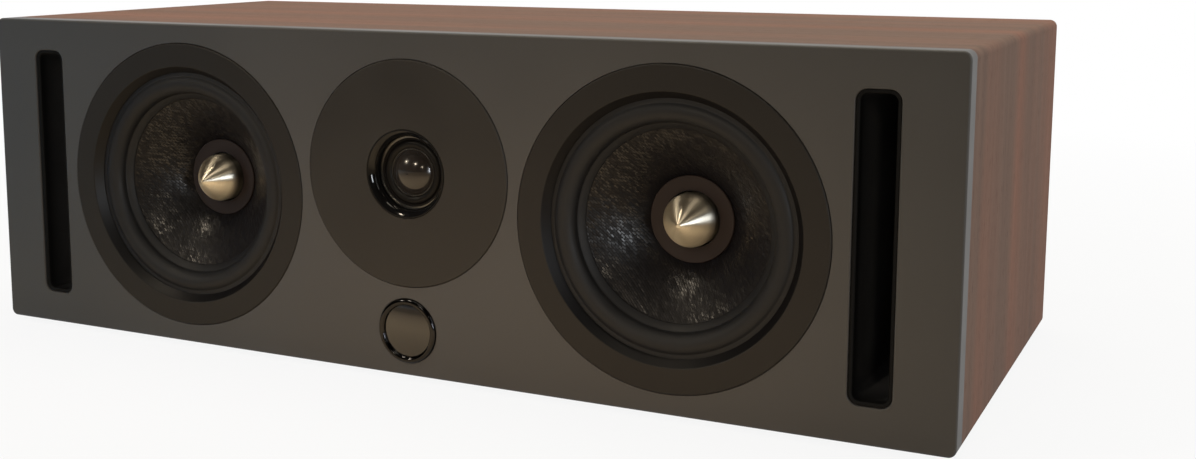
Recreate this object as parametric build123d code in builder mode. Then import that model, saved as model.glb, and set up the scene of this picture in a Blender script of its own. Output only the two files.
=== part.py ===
"""Center channel speaker: two woofers, a dome tweeter and two slot ports in a veneered cabinet.

Millimetres. +X runs along the cabinet, the baffle faces -Y and +Z is up. The origin lies on the
floor, under the middle of the cabinet. Depths are measured from the front of the baffle into the
cabinet, and every driver is turned about an axis along Y.
"""

import os

from build123d import *

os.makedirs("parts", exist_ok=True)

# Driving dimensions

# Cabinet boards
cabinet_depth = 258.0
panel = 15.0
edge_radius = 4.0
baffle_lip = 12.0
baffle_plug = 8.0
baffle_round = 1.2
plug_clearance = 0.2
brace_thickness = 12.0
brace_web = 22.0
brace_corner = 14.0
foot_height = 3.0
foot_radius = 8.0
foot_inset = 32.0
foot_round = 1.0

# Layout of the baffle
driver_gap = 5.6
woofer_margin = 10.5
tweeter_margin = 13.9
badge_gap = 6.3
badge_margin = 6.8
port_gap = 8.6
port_side_margin = 29.0

# Slot ports
port_width = 20.5
port_margin = 3.0
port_corner = 5.5
port_round = 0.8
duct_wall = 1.8
duct_clearance = 0.3
duct_setback = 0.9
duct_length = 150.0
duct_flange = 7.0
duct_flange_thickness = 3.0

# Fits shared by both kinds of driver
pocket_clearance = 0.3
glue_line = 0.05
trim_thickness = 2.6
trim_proud = 0.6
trim_round = 0.8
gasket_thickness = 1.5

# Woofer, from the middle outwards
pole_radius = 13.7
pole_clearance = 0.5
former_wall = 0.35
winding_build = 0.7
gap_clearance = 0.55
collar_width = 7.4
cone_radius = 51.0
cone_thickness = 1.2
cone_bow = 1.6
lip_width = 4.0
lip_slope = 0.7
lip_cover = 3.5
roll_width = 9.8
roll_rise = 3.6
roll_thickness = 0.9
rim_width = 6.4
rim_thickness = 1.2
skirt_gap = 2.2
skirt_wall = 0.7
skirt_clearance = 0.3
flange_width = 8.5
trim_overlap = 3.5
plug_relief = 0.2
plug_tip_radius = 1.0
plug_bow = 0.9
plug_shoulder = 7.0

# Woofer, from the front backwards
recess_depth = 3.4
flange_floor = 2.1
cone_drop = 5.6
cone_depth = 24.5
collar_lift = 1.2
collar_edge = 0.4
collar_drop = 0.6
collar_thickness = 1.3
plug_tip_depth = 14.5
plug_flank = 13.8
spider_drop = 12.5
spider_wave = 1.6
spider_thickness = 0.6
spider_waves = 3
spider_land = 4.0
motor_drop = 8.5
top_plate_thickness = 5.0
magnet_thickness = 17.0
back_plate_thickness = 5.0
winding_height = 14.0

# Woofer basket and motor outlines
bowl_wall = 3.0
shelf_thickness = 3.0
hub_wall = 3.0
spider_width = 24.2
hub_width = 11.0
spoke_count = 6
window_angle = 42.0
plate_radius = 41.0
magnet_radius = 46.0
magnet_bore = 22.0

# Tweeter
tweeter_trim_radius = 59.3
tweeter_pole_radius = 11.65
tweeter_clearance = 0.45
tweeter_former_wall = 0.3
tweeter_winding = 0.35
dome_height = 6.2
dome_wall = 0.4
dome_edge_depth = 7.8
tweeter_roll_width = 4.6
tweeter_roll_rise = 1.3
tweeter_film = 0.5
tweeter_rim_width = 2.3
clamp_cover = 1.8
clamp_width = 0.7
clamp_thickness = 0.5
throat_flare = 3.6
throat_bulge = 1.1
boss_wall = 0.6
faceplate_thickness = 4.0
faceplate_overlap = 7.3
tweeter_body_radius = 36.0
tweeter_plate_radius = 33.0
tweeter_magnet_bore = 18.0
tweeter_seat_gap = 2.4
tweeter_top_plate = 3.5
tweeter_magnet = 10.0
tweeter_back_plate = 4.5
tweeter_coil_height = 7.0

# Screws
screw_shank = 1.9
screw_head = 3.4
screw_length = 15.0
screw_clearance = 0.15
screw_recess = 1.0
woofer_screw_count = 6
tweeter_screw_count = 4

# Badge
badge_radius = 17.2
badge_pocket = 1.5
badge_rim = 3.4
badge_height = 1.6
lens_height = 1.0
lens_clearance = 0.1

# Terminal cup and binding posts
cup_opening_width = 66.0
cup_opening_height = 46.0
cup_corner = 8.0
cup_taper = 4.0
cup_depth = 25.0
cup_wall = 2.5
cup_flange = 12.0
cup_flange_corner = 6.0
cup_flange_thickness = 3.0
cup_clearance = 0.4
post_spacing = 19.05
post_radius = 3.0
post_bore = 2.1
post_bore_depth = 14.0
post_length = 16.0
post_base_radius = 6.2
post_base = 3.0
post_tail = 7.0
post_nut = 3.0
post_nut_radius = 5.5
nut_radius = 6.4
nut_wall = 3.0
nut_clearance = 0.1
nut_lift = 0.3
nut_mouth = 2.7
nut_flutes = 12
nut_flute_radius = 1.1

# Crossover, on the bottom panel
board_length = 84.0
board_depth = 90.0
board_thickness = 3.0
board_setback = 95.0
coil_radius = 17.0
coil_bore = 8.0
coil_height = 13.0
capacitor_radius = 8.0
capacitor_length = 34.0
part_spacing = 40.0

# Damping pads on the rear panel
pad_width = 110.0
pad_height = 110.0
pad_thickness = 25.0
pad_round = 8.0

# Radii of the woofer, worked out from the middle outwards
former_inner = pole_radius + pole_clearance
former_outer = former_inner + former_wall
winding_outer = former_outer + winding_build
gap_radius = winding_outer + gap_clearance
collar_inner = former_outer + glue_line
collar_outer = collar_inner + collar_width
neck_radius = collar_outer + glue_line
roll_radius = cone_radius + roll_width
rim_radius = roll_radius + rim_width
recess_radius = rim_radius + pocket_clearance
skirt_radius = roll_radius + skirt_gap
trim_opening = rim_radius - skirt_wall
flange_radius = recess_radius + flange_width
woofer_trim_radius = flange_radius + trim_overlap
woofer_screw_circle = (recess_radius + flange_radius) / 2
basket_radius = recess_radius - bowl_wall / 2
woofer_cutout = basket_radius + pocket_clearance
spider_inner = former_outer + glue_line
spider_outer = spider_inner + spider_width
plug_radius = pole_radius - plug_relief

# Depths of the woofer, worked out from the front backwards
trim_seat = trim_thickness - trim_proud
rim_back = trim_seat + recess_depth
rim_front = rim_back - rim_thickness
flange_back = rim_back + flange_floor
gasket_seat = flange_back + gasket_thickness
cone_edge = rim_front + cone_drop
cone_neck = cone_edge + cone_depth
collar_front = cone_neck - collar_lift
collar_bottom = collar_front + collar_drop
spider_depth = cone_neck + spider_drop
plate_front = spider_depth + spider_thickness + motor_drop
plate_back = plate_front + top_plate_thickness
magnet_back = plate_back + magnet_thickness
yoke_back = magnet_back + back_plate_thickness
winding_middle = (plate_front + plate_back) / 2

# Radii and depths of the tweeter
dome_inner = tweeter_pole_radius + tweeter_clearance
dome_radius = dome_inner + tweeter_former_wall
tweeter_winding_outer = dome_radius + tweeter_winding
tweeter_gap_radius = tweeter_winding_outer + tweeter_clearance
tweeter_roll_inner = dome_radius + glue_line
tweeter_roll_radius = tweeter_roll_inner + tweeter_roll_width
tweeter_rim_radius = tweeter_roll_radius + tweeter_rim_width
throat_radius = tweeter_rim_radius - tweeter_rim_width + clamp_cover
mouth_radius = throat_radius + throat_flare
boss_radius = mouth_radius + boss_wall
seat_radius = tweeter_rim_radius + pocket_clearance
faceplate_radius = tweeter_trim_radius - faceplate_overlap
faceplate_back = trim_seat + faceplate_thickness
tweeter_gasket_seat = faceplate_back + gasket_thickness
tweeter_cutout = tweeter_body_radius + 2 * pocket_clearance
tweeter_screw_circle = (tweeter_cutout + faceplate_radius) / 2
film_front = dome_edge_depth - tweeter_film
clamp_front = film_front - clamp_thickness
tweeter_plate_front = dome_edge_depth + tweeter_seat_gap
tweeter_plate_back = tweeter_plate_front + tweeter_top_plate
tweeter_magnet_back = tweeter_plate_back + tweeter_magnet
tweeter_yoke_back = tweeter_magnet_back + tweeter_back_plate

# Overall size and layout, worked out from the drivers
woofer_x = tweeter_trim_radius + driver_gap + woofer_trim_radius
port_x = woofer_x + woofer_trim_radius + port_gap + port_width / 2
cabinet_width = 2 * (port_x + port_width / 2 + port_side_margin)
woofer_column = 2 * (woofer_trim_radius + woofer_margin)
tweeter_column = (
    tweeter_margin + 2 * tweeter_trim_radius + badge_gap + 2 * badge_radius + badge_margin
)
cabinet_height = max(woofer_column, tweeter_column)
middle_z = foot_height + cabinet_height / 2
tweeter_z = foot_height + cabinet_height - tweeter_margin - tweeter_trim_radius
badge_z = foot_height + badge_margin + badge_radius
front_y = -cabinet_depth / 2
rear_y = cabinet_depth / 2
inner_width = cabinet_width - 2 * panel
inner_height = cabinet_height - 2 * panel
inner_floor = foot_height + panel
baffle_thickness = baffle_lip + baffle_plug
port_height = inner_height - 2 * port_margin
duct_width = port_width - 2 * duct_clearance
duct_height = port_height - 2 * duct_clearance
duct_corner = port_corner - duct_clearance
brace_x = (tweeter_cutout + woofer_x - woofer_cutout) / 2
woofer_sides = (("left", -woofer_x), ("right", woofer_x))


def face_plane(depth):
    """Plane parallel to the baffle: its x is X, its y is Z and its normal faces the viewer."""
    return Plane(origin=(0, front_y + depth, 0), x_dir=(1, 0, 0), z_dir=(0, -1, 0))


def rear_plane(depth):
    """Plane parallel to the rear panel, its depth counted inwards from the back of the cabinet."""
    return Plane(origin=(0, rear_y - depth, 0), x_dir=(-1, 0, 0), z_dir=(0, 1, 0))


def section(x, z):
    """Plane through a driver's axis: its x is the radius and its y is the depth."""
    return Plane(origin=(x, front_y, z))


def driver_axis(x, z):
    """A driver's own axis, along Y."""
    return Axis((x, front_y, z), (0, 1, 0))


def save(piece, label):
    """Label a finished piece and write it as one STEP file."""
    piece.label = label
    export_step(piece, f"parts/{label}.step")


def turned(x, z, outline):
    """A piece turned on a driver's axis from a closed outline of (radius, depth) points."""
    with BuildPart() as piece:
        with BuildSketch(section(x, z)):
            with BuildLine():
                Polyline(*outline, close=True)
            make_face()
        revolve(axis=driver_axis(x, z))
    return piece.part


def ring_outline(inner, outer, front, back):
    """Outline of a plain ring."""
    return ((inner, front), (outer, front), (outer, back), (inner, back))


def countersunk_screw():
    """One countersunk screw: its head is flush with z = 0 and it points down."""
    with BuildPart() as screw:
        Cylinder(screw_shank, screw_length, align=(Align.CENTER, Align.CENTER, Align.MAX))
        Cone(
            screw_shank,
            screw_head,
            screw_head - screw_shank,
            align=(Align.CENTER, Align.CENTER, Align.MAX),
        )
        chamfer(screw.edges().sort_by(Axis.Z)[0], screw_shank / 2)
        with BuildSketch():
            Rectangle(1.6 * screw_head, screw_head / 4)
            Rectangle(screw_head / 4, 1.6 * screw_head)
        extrude(amount=-screw_recess, mode=Mode.SUBTRACT)
    return screw.part


# Cabinet: four mitred boards, with the long edges rounded

half_width = cabinet_width / 2
half_height = cabinet_height / 2
mitre = half_width - half_height
mitred_outlines = {
    "top_panel": ((-half_width, half_height), (half_width, half_height), (mitre, 0), (-mitre, 0)),
    "bottom_panel": ((-half_width, -half_height), (half_width, -half_height), (mitre, 0), (-mitre, 0)),
    "left_panel": ((-half_width, half_height), (-half_width, -half_height), (-mitre, 0)),
    "right_panel": ((half_width, half_height), (half_width, -half_height), (mitre, 0)),
}
for label, corners in mitred_outlines.items():
    with BuildPart() as board:
        with BuildSketch(face_plane(baffle_lip)):
            with Locations((0, middle_z)):
                RectangleRounded(cabinet_width, cabinet_height, edge_radius)
                Rectangle(inner_width, inner_height, mode=Mode.SUBTRACT)
            with BuildLine():
                Polyline(*((x, middle_z + z) for x, z in corners), close=True)
            make_face(mode=Mode.INTERSECT)
        extrude(amount=-(cabinet_depth - baffle_lip))
    save(board.part, label)

# Front baffle, with a lip over the boards, driver pockets and rounded port mouths

with BuildPart() as front_baffle:
    with BuildSketch(face_plane(0)):
        with Locations((0, middle_z)):
            RectangleRounded(cabinet_width, cabinet_height, edge_radius)
    extrude(amount=-baffle_lip)
    fillet(front_baffle.faces().sort_by(Axis.Y)[0].edges(), baffle_round)
    with BuildSketch(face_plane(baffle_lip)):
        with Locations((0, middle_z)):
            Rectangle(inner_width - 2 * plug_clearance, inner_height - 2 * plug_clearance)
    extrude(amount=-baffle_plug)
    with BuildSketch(face_plane(0)):
        with Locations((-port_x, middle_z), (port_x, middle_z)):
            RectangleRounded(port_width, port_height, port_corner)
    extrude(amount=-baffle_thickness, mode=Mode.SUBTRACT)
    fillet(front_baffle.faces().sort_by(Axis.Y)[0].inner_wires().edges(), port_round)
    with Locations(face_plane(0)):
        with Locations((-woofer_x, middle_z), (woofer_x, middle_z)):
            Hole(woofer_trim_radius + pocket_clearance, trim_seat)
            Hole(flange_radius + pocket_clearance, gasket_seat)
            Hole(woofer_cutout, baffle_thickness)
            with PolarLocations(woofer_screw_circle, woofer_screw_count, start_angle=30):
                Hole(screw_shank + screw_clearance, trim_seat + screw_length + screw_clearance)
        with Locations((0, tweeter_z)):
            Hole(tweeter_trim_radius + pocket_clearance, trim_seat)
            Hole(faceplate_radius + pocket_clearance, tweeter_gasket_seat)
            Hole(tweeter_cutout, baffle_thickness)
            with PolarLocations(tweeter_screw_circle, tweeter_screw_count, start_angle=45):
                Hole(screw_shank + screw_clearance, trim_seat + screw_length + screw_clearance)
        with Locations((0, badge_z)):
            Hole(badge_radius + pocket_clearance, badge_pocket)
save(front_baffle.part, "front_baffle")

# Rear panel, set in between the boards, with a rebate for the terminal cup

cup_z = middle_z
cup_body_width = cup_opening_width + 2 * cup_wall
cup_body_height = cup_opening_height + 2 * cup_wall
cup_flange_width = cup_opening_width + 2 * cup_flange
cup_flange_height = cup_opening_height + 2 * cup_flange
cup_screw_x = (cup_body_width + cup_flange_width) / 4
cup_screw_z = (cup_body_height + cup_flange_height) / 4
cup_screw_places = [(x, z) for x in (-cup_screw_x, cup_screw_x) for z in (-cup_screw_z, cup_screw_z)]

with BuildPart() as rear_panel:
    with BuildSketch(rear_plane(0)):
        with Locations((0, middle_z)):
            Rectangle(inner_width, inner_height)
    extrude(amount=-panel)
    with BuildSketch(rear_plane(0)):
        with Locations((0, cup_z)):
            RectangleRounded(
                cup_flange_width + 2 * cup_clearance,
                cup_flange_height + 2 * cup_clearance,
                cup_flange_corner + cup_clearance,
            )
    extrude(amount=-cup_flange_thickness, mode=Mode.SUBTRACT)
    with BuildSketch(rear_plane(0)):
        with Locations((0, cup_z)):
            RectangleRounded(
                cup_body_width + 2 * cup_clearance,
                cup_body_height + 2 * cup_clearance,
                cup_corner + cup_clearance,
            )
    extrude(amount=-panel, mode=Mode.SUBTRACT)
    with Locations(rear_plane(0)):
        with Locations(*((x, cup_z + z) for x, z in cup_screw_places)):
            Hole(screw_shank + screw_clearance, panel)
save(rear_panel.part, "rear_panel")

# Window braces between the tweeter and each woofer

brace_front = front_y + baffle_thickness
brace_back = rear_y - panel
brace_depth = brace_back - brace_front
brace_window = (brace_depth - 3 * brace_web) / 2
for label, x in (("left_brace", -brace_x), ("right_brace", brace_x)):
    middle = Plane(origin=(x, (brace_front + brace_back) / 2, middle_z), x_dir=(0, 1, 0), z_dir=(1, 0, 0))
    with BuildPart() as brace:
        with BuildSketch(middle):
            Rectangle(brace_depth, inner_height)
            with GridLocations(brace_window + brace_web, 1, 2, 1):
                RectangleRounded(
                    brace_window,
                    inner_height - 2 * brace_web,
                    brace_corner,
                    mode=Mode.SUBTRACT,
                )
        extrude(amount=brace_thickness / 2, both=True)
    save(brace.part, label)

# Port ducts: each a moulded tube that lines its slot, with a flange glued to the baffle's back

duct_back = baffle_thickness + duct_length
for label, x in (("left_port_duct", -port_x), ("right_port_duct", port_x)):
    with BuildPart() as duct:
        with BuildSketch(face_plane(duct_setback)):
            with Locations((x, middle_z)):
                RectangleRounded(duct_width, duct_height, duct_corner)
        extrude(amount=duct_setback - duct_back)
        with BuildSketch(face_plane(baffle_thickness)):
            with Locations((x, middle_z)):
                RectangleRounded(duct_width + 2 * duct_flange, duct_height, duct_corner)
        extrude(amount=-duct_flange_thickness)
        with BuildSketch(face_plane(duct_setback)):
            with Locations((x, middle_z)):
                RectangleRounded(
                    duct_width - 2 * duct_wall,
                    duct_height - 2 * duct_wall,
                    duct_corner - duct_wall,
                )
        extrude(amount=duct_setback - duct_back, mode=Mode.SUBTRACT)
        mouth = duct.faces().sort_by(Axis.Y)[0].inner_wires()
        fillet(mouth.edges(), duct_wall * 0.7)
        inner_end = duct.faces().sort_by(Axis.Y)[-1].inner_wires()
        fillet(inner_end.edges(), duct_wall * 0.7)
    save(duct.part, label)

# Rubber feet under the bottom panel

foot_x = half_width - foot_inset
foot_y = cabinet_depth / 2 - foot_inset
with BuildPart() as rubber_feet:
    with GridLocations(2 * foot_x, 2 * foot_y, 2, 2):
        Cylinder(foot_radius, foot_height, align=(Align.CENTER, Align.CENTER, Align.MIN))
    fillet(rubber_feet.edges().group_by(Axis.Z)[0], foot_round)
save(rubber_feet.part, "rubber_feet")


# Woofer


def woofer_trim_ring(x):
    """Flat ring over the flange, with a bevelled skirt down to the surround."""
    skirt_end = rim_front - skirt_clearance
    with BuildPart() as ring:
        with BuildSketch(section(x, middle_z)):
            with BuildLine():
                Polyline(
                    (woofer_trim_radius, trim_seat),
                    (woofer_trim_radius, -trim_proud),
                    (trim_opening, -trim_proud),
                    (skirt_radius, skirt_end),
                    (rim_radius, skirt_end),
                    (rim_radius, trim_seat),
                    close=True,
                )
            make_face()
        revolve(axis=driver_axis(x, middle_z))
        fillet(ring.faces().sort_by(Axis.Y)[0].edges(), trim_round)
    return ring.part


def woofer_basket(x):
    """Cast frame: flange, shelf for the surround, open spokes, spider ledge and motor hub."""
    axis = driver_axis(x, middle_z)
    ledge = spider_depth + spider_thickness
    hub_front = plate_front - hub_wall
    ledge_outer = spider_outer + pocket_clearance
    ledge_inner = spider_outer - spider_land + pocket_clearance
    hub_inner = ledge_inner - hub_width
    hub_radius = ledge_outer + hub_wall
    shelf_back = rim_back + shelf_thickness
    bowl_front = shelf_back + bowl_wall
    window_front = bowl_front + bowl_wall
    window_back = spider_depth - bowl_wall
    with BuildPart() as basket:
        with BuildSketch(section(x, middle_z)):
            with BuildLine():
                Polyline(
                    (recess_radius, trim_seat),
                    (flange_radius, trim_seat),
                    (flange_radius, flange_back),
                    (basket_radius, flange_back),
                    (basket_radius, bowl_front),
                    (hub_radius, spider_depth),
                    (hub_radius, plate_front),
                    (hub_inner, plate_front),
                    (hub_inner, hub_front),
                    (ledge_inner, hub_front),
                    (ledge_inner, ledge),
                    (ledge_outer, ledge),
                    (ledge_outer, spider_depth),
                    (basket_radius - bowl_wall, bowl_front),
                    (roll_radius, shelf_back),
                    (roll_radius, rim_back),
                    (recess_radius, rim_back),
                    close=True,
                )
            make_face()
        revolve(axis=axis)
        for index in range(spoke_count):
            turn = 360 / spoke_count * index
            with BuildSketch(section(x, middle_z).rotated((0, turn - window_angle / 2, 0))):
                with BuildLine():
                    Polyline(
                        (spider_inner, window_front),
                        (flange_radius, window_front),
                        (flange_radius, window_back),
                        (spider_inner, window_back),
                        close=True,
                    )
                make_face()
            revolve(axis=axis, revolution_arc=window_angle, mode=Mode.SUBTRACT)
        with Locations(face_plane(trim_seat)):
            with Locations((x, middle_z)):
                with PolarLocations(woofer_screw_circle, woofer_screw_count, start_angle=30):
                    CounterSinkHole(
                        screw_shank + screw_clearance,
                        screw_head + screw_clearance,
                        depth=flange_back,
                        counter_sink_angle=90,
                    )
    return basket.part


def woofer_gasket(x):
    """Foam ring between the flange and the baffle, pierced for the screws."""
    with BuildPart() as gasket:
        with BuildSketch(face_plane(flange_back)):
            with Locations((x, middle_z)):
                Circle(flange_radius)
                Circle(woofer_cutout, mode=Mode.SUBTRACT)
                with PolarLocations(woofer_screw_circle, woofer_screw_count, start_angle=30):
                    Circle(screw_shank + screw_clearance, mode=Mode.SUBTRACT)
        extrude(amount=-gasket_thickness)
    return gasket.part


def woofer_surround(x):
    """Rubber half-roll, glued to the basket's shelf and to the front of the cone's edge."""
    lip_back = cone_edge - glue_line
    lip_front = lip_back - roll_thickness
    lip_end = cone_radius - lip_cover
    lip_fall = lip_cover * lip_slope
    with BuildPart() as surround:
        with BuildSketch(section(x, middle_z)):
            with BuildLine():
                Polyline(
                    (roll_radius, rim_front),
                    (rim_radius, rim_front),
                    (rim_radius, rim_back),
                    (roll_radius - roll_thickness / 2, rim_back),
                )
                SagittaArc(
                    (roll_radius - roll_thickness / 2, rim_back),
                    (cone_radius + roll_thickness, lip_back),
                    roll_rise,
                )
                Polyline(
                    (cone_radius + roll_thickness, lip_back),
                    (cone_radius, lip_back),
                    (lip_end, lip_back + lip_fall),
                    (lip_end, lip_front + lip_fall),
                    (cone_radius, lip_front),
                )
                SagittaArc((cone_radius, lip_front), (roll_radius, rim_front), -roll_rise)
            make_face()
        revolve(axis=driver_axis(x, middle_z))
    return surround.part


def woofer_cone(x):
    """Woven cone with a bowed flank and a plain lip that the surround is glued over."""
    lip_inner = cone_radius - lip_width
    lip_depth = cone_edge + lip_width * lip_slope
    with BuildPart() as cone:
        with BuildSketch(section(x, middle_z)):
            with BuildLine():
                Polyline((neck_radius, cone_neck), (neck_radius, cone_neck + cone_thickness))
                SagittaArc(
                    (neck_radius, cone_neck + cone_thickness),
                    (lip_inner, lip_depth + cone_thickness),
                    -cone_bow,
                )
                Polyline(
                    (lip_inner, lip_depth + cone_thickness),
                    (cone_radius, cone_edge + cone_thickness),
                    (cone_radius, cone_edge),
                    (lip_inner, lip_depth),
                )
                SagittaArc((lip_inner, lip_depth), (neck_radius, cone_neck), cone_bow)
            make_face()
        revolve(axis=driver_axis(x, middle_z))
    return cone.part


def woofer_collar(x):
    """Smooth ring that joins the cone's neck to the voice coil, its rim standing proud of the cone."""
    outline = (
        (collar_outer - collar_edge, collar_front),
        (collar_outer, collar_front + collar_edge),
        (collar_outer, cone_neck + cone_thickness),
        (collar_inner, collar_bottom + collar_thickness),
        (collar_inner, collar_bottom),
    )
    return turned(x, middle_z, outline)


def woofer_phase_plug(x):
    """Turned bullet that stands on the pole, inside the voice coil."""
    shoulder = plug_tip_depth + plug_flank
    with BuildPart() as plug:
        with BuildSketch(section(x, middle_z)):
            with BuildLine():
                Polyline((0, plug_tip_depth), (plug_tip_radius, plug_tip_depth))
                SagittaArc((plug_tip_radius, plug_tip_depth), (plug_radius, shoulder), -plug_bow)
                Polyline((plug_radius, shoulder), (plug_radius, plate_front), (0, plate_front))
                Line((0, plate_front), (0, plug_tip_depth))
            make_face()
        revolve(axis=driver_axis(x, middle_z))
        rims = plug.edges().filter_by(GeomType.CIRCLE).sort_by(Axis.Y)
        fillet(rims[0], plug_tip_radius * 0.9)
        fillet(plug.edges().filter_by(GeomType.CIRCLE).sort_by(Axis.Y)[-2], plug_shoulder)
    return plug.part


def woofer_voice_coil(x):
    """Former with its winding, hanging in the magnet gap."""
    winding_top = winding_middle - winding_height / 2
    winding_bottom = winding_middle + winding_height / 2
    outline = (
        (former_inner, collar_bottom),
        (former_outer, collar_bottom),
        (former_outer, winding_top),
        (winding_outer, winding_top),
        (winding_outer, winding_bottom),
        (former_inner, winding_bottom),
    )
    return turned(x, middle_z, outline)


def woofer_spider(x):
    """Corrugated cloth disc between the voice coil and the basket's ledge."""
    corrugated = spider_width - 2 * spider_land
    half_wave = corrugated / (2 * spider_waves)
    front = [(spider_inner, spider_depth), (spider_inner + spider_land, spider_depth)]
    for index in range(2 * spider_waves):
        swing = spider_wave if index % 2 else -spider_wave
        radius = spider_inner + spider_land + half_wave * (index + 0.5)
        front.append((radius, spider_depth + swing))
    front.append((spider_outer - spider_land, spider_depth))
    front.append((spider_outer, spider_depth))
    back = [(radius, depth + spider_thickness) for radius, depth in reversed(front)]
    return turned(x, middle_z, front + back)


def woofer_back_plate(x):
    """Back plate and pole, turned in one piece."""
    outline = (
        (0, plate_front),
        (pole_radius, plate_front),
        (pole_radius, magnet_back),
        (plate_radius, magnet_back),
        (plate_radius, yoke_back),
        (0, yoke_back),
    )
    return turned(x, middle_z, outline)


for side, x in woofer_sides:
    save(woofer_trim_ring(x), f"{side}_woofer_trim_ring")
    save(woofer_basket(x), f"{side}_woofer_basket")
    save(woofer_gasket(x), f"{side}_woofer_gasket")
    save(woofer_surround(x), f"{side}_woofer_surround")
    save(woofer_cone(x), f"{side}_woofer_cone")
    save(woofer_collar(x), f"{side}_woofer_collar")
    save(woofer_phase_plug(x), f"{side}_woofer_phase_plug")
    save(woofer_voice_coil(x), f"{side}_woofer_voice_coil")
    save(woofer_spider(x), f"{side}_woofer_spider")
    top_plate = turned(x, middle_z, ring_outline(gap_radius, plate_radius, plate_front, plate_back))
    save(top_plate, f"{side}_woofer_top_plate")
    magnet = turned(x, middle_z, ring_outline(magnet_bore, magnet_radius, plate_back, magnet_back))
    save(magnet, f"{side}_woofer_magnet")
    save(woofer_back_plate(x), f"{side}_woofer_back_plate")

with BuildPart() as woofer_screws:
    with Locations(face_plane(trim_seat)):
        with Locations((-woofer_x, middle_z), (woofer_x, middle_z)):
            with PolarLocations(woofer_screw_circle, woofer_screw_count, start_angle=30):
                add(countersunk_screw())
save(woofer_screws.part, "woofer_screws")


# Tweeter


def tweeter_trim_disc():
    """Flat disc over the faceplate, open round the funnel."""
    with BuildPart() as disc:
        with BuildSketch(face_plane(-trim_proud)):
            with Locations((0, tweeter_z)):
                Circle(tweeter_trim_radius)
                Circle(boss_radius + pocket_clearance, mode=Mode.SUBTRACT)
        extrude(amount=-trim_thickness)
        fillet(disc.faces().sort_by(Axis.Y)[0].outer_wire().edges(), trim_round)
    return disc.part


def tweeter_faceplate():
    """Moulded plate with a flared funnel in front of the dome and a seat for the motor behind."""
    with BuildPart() as plate:
        with BuildSketch(section(0, tweeter_z)):
            with BuildLine():
                Polyline(
                    (mouth_radius, -trim_proud),
                    (boss_radius, -trim_proud),
                    (boss_radius, trim_seat),
                    (faceplate_radius, trim_seat),
                    (faceplate_radius, faceplate_back),
                    (tweeter_body_radius, faceplate_back),
                    (tweeter_body_radius, tweeter_plate_front),
                    (seat_radius, tweeter_plate_front),
                    (seat_radius, clamp_front),
                    (throat_radius, clamp_front),
                )
                SagittaArc((throat_radius, clamp_front), (mouth_radius, -trim_proud), -throat_bulge)
            make_face()
        revolve(axis=driver_axis(0, tweeter_z))
        with Locations(face_plane(trim_seat)):
            with Locations((0, tweeter_z)):
                with PolarLocations(tweeter_screw_circle, tweeter_screw_count, start_angle=45):
                    CounterSinkHole(
                        screw_shank + screw_clearance,
                        screw_head + screw_clearance,
                        depth=faceplate_back,
                        counter_sink_angle=90,
                    )
    return plate.part


def tweeter_gasket():
    """Foam ring between the faceplate and the baffle."""
    with BuildPart() as gasket:
        with BuildSketch(face_plane(faceplate_back)):
            with Locations((0, tweeter_z)):
                Circle(faceplate_radius)
                Circle(tweeter_cutout, mode=Mode.SUBTRACT)
                with PolarLocations(tweeter_screw_circle, tweeter_screw_count, start_angle=45):
                    Circle(screw_shank + screw_clearance, mode=Mode.SUBTRACT)
        extrude(amount=-gasket_thickness)
    return gasket.part


def tweeter_surround():
    """Small half-roll round the dome, its rim held under the clamp ring."""
    with BuildPart() as surround:
        with BuildSketch(section(0, tweeter_z)):
            with BuildLine():
                Polyline(
                    (tweeter_roll_radius, film_front),
                    (tweeter_rim_radius, film_front),
                    (tweeter_rim_radius, dome_edge_depth),
                    (tweeter_roll_radius - tweeter_film, dome_edge_depth),
                )
                SagittaArc(
                    (tweeter_roll_radius - tweeter_film, dome_edge_depth),
                    (tweeter_roll_inner + tweeter_film, dome_edge_depth),
                    tweeter_roll_rise,
                )
                Polyline(
                    (tweeter_roll_inner + tweeter_film, dome_edge_depth),
                    (tweeter_roll_inner, dome_edge_depth),
                    (tweeter_roll_inner, film_front),
                )
                SagittaArc(
                    (tweeter_roll_inner, film_front),
                    (tweeter_roll_radius, film_front),
                    -tweeter_roll_rise,
                )
            make_face()
        revolve(axis=driver_axis(0, tweeter_z))
    return surround.part


def tweeter_dome():
    """Thin domed cap that stands on the voice coil."""
    apex = dome_edge_depth - dome_height
    with BuildPart() as dome:
        with BuildSketch(section(0, tweeter_z)):
            with BuildLine():
                dome_sphere = (dome_radius**2 + dome_height**2) / (2 * dome_height)
                SagittaArc((dome_radius, dome_edge_depth), (-dome_radius, dome_edge_depth), dome_height)
                Line((-dome_radius, dome_edge_depth), (dome_radius, dome_edge_depth))
            make_face()
            Rectangle(2 * dome_radius, 4 * dome_height, align=(Align.MAX, Align.CENTER), mode=Mode.SUBTRACT)
            with Locations((0, apex + dome_sphere)):
                Circle(dome_sphere - dome_wall, mode=Mode.SUBTRACT)
        revolve(axis=driver_axis(0, tweeter_z))
    return dome.part


def tweeter_voice_coil():
    """Former under the dome, with its winding in the magnet gap."""
    top = dome_edge_depth + glue_line
    bottom = top + tweeter_coil_height
    winding_top = tweeter_plate_front - tweeter_winding
    outline = (
        (dome_inner, top),
        (dome_radius, top),
        (dome_radius, winding_top),
        (tweeter_winding_outer, winding_top),
        (tweeter_winding_outer, bottom),
        (dome_inner, bottom),
    )
    return turned(0, tweeter_z, outline)


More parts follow.
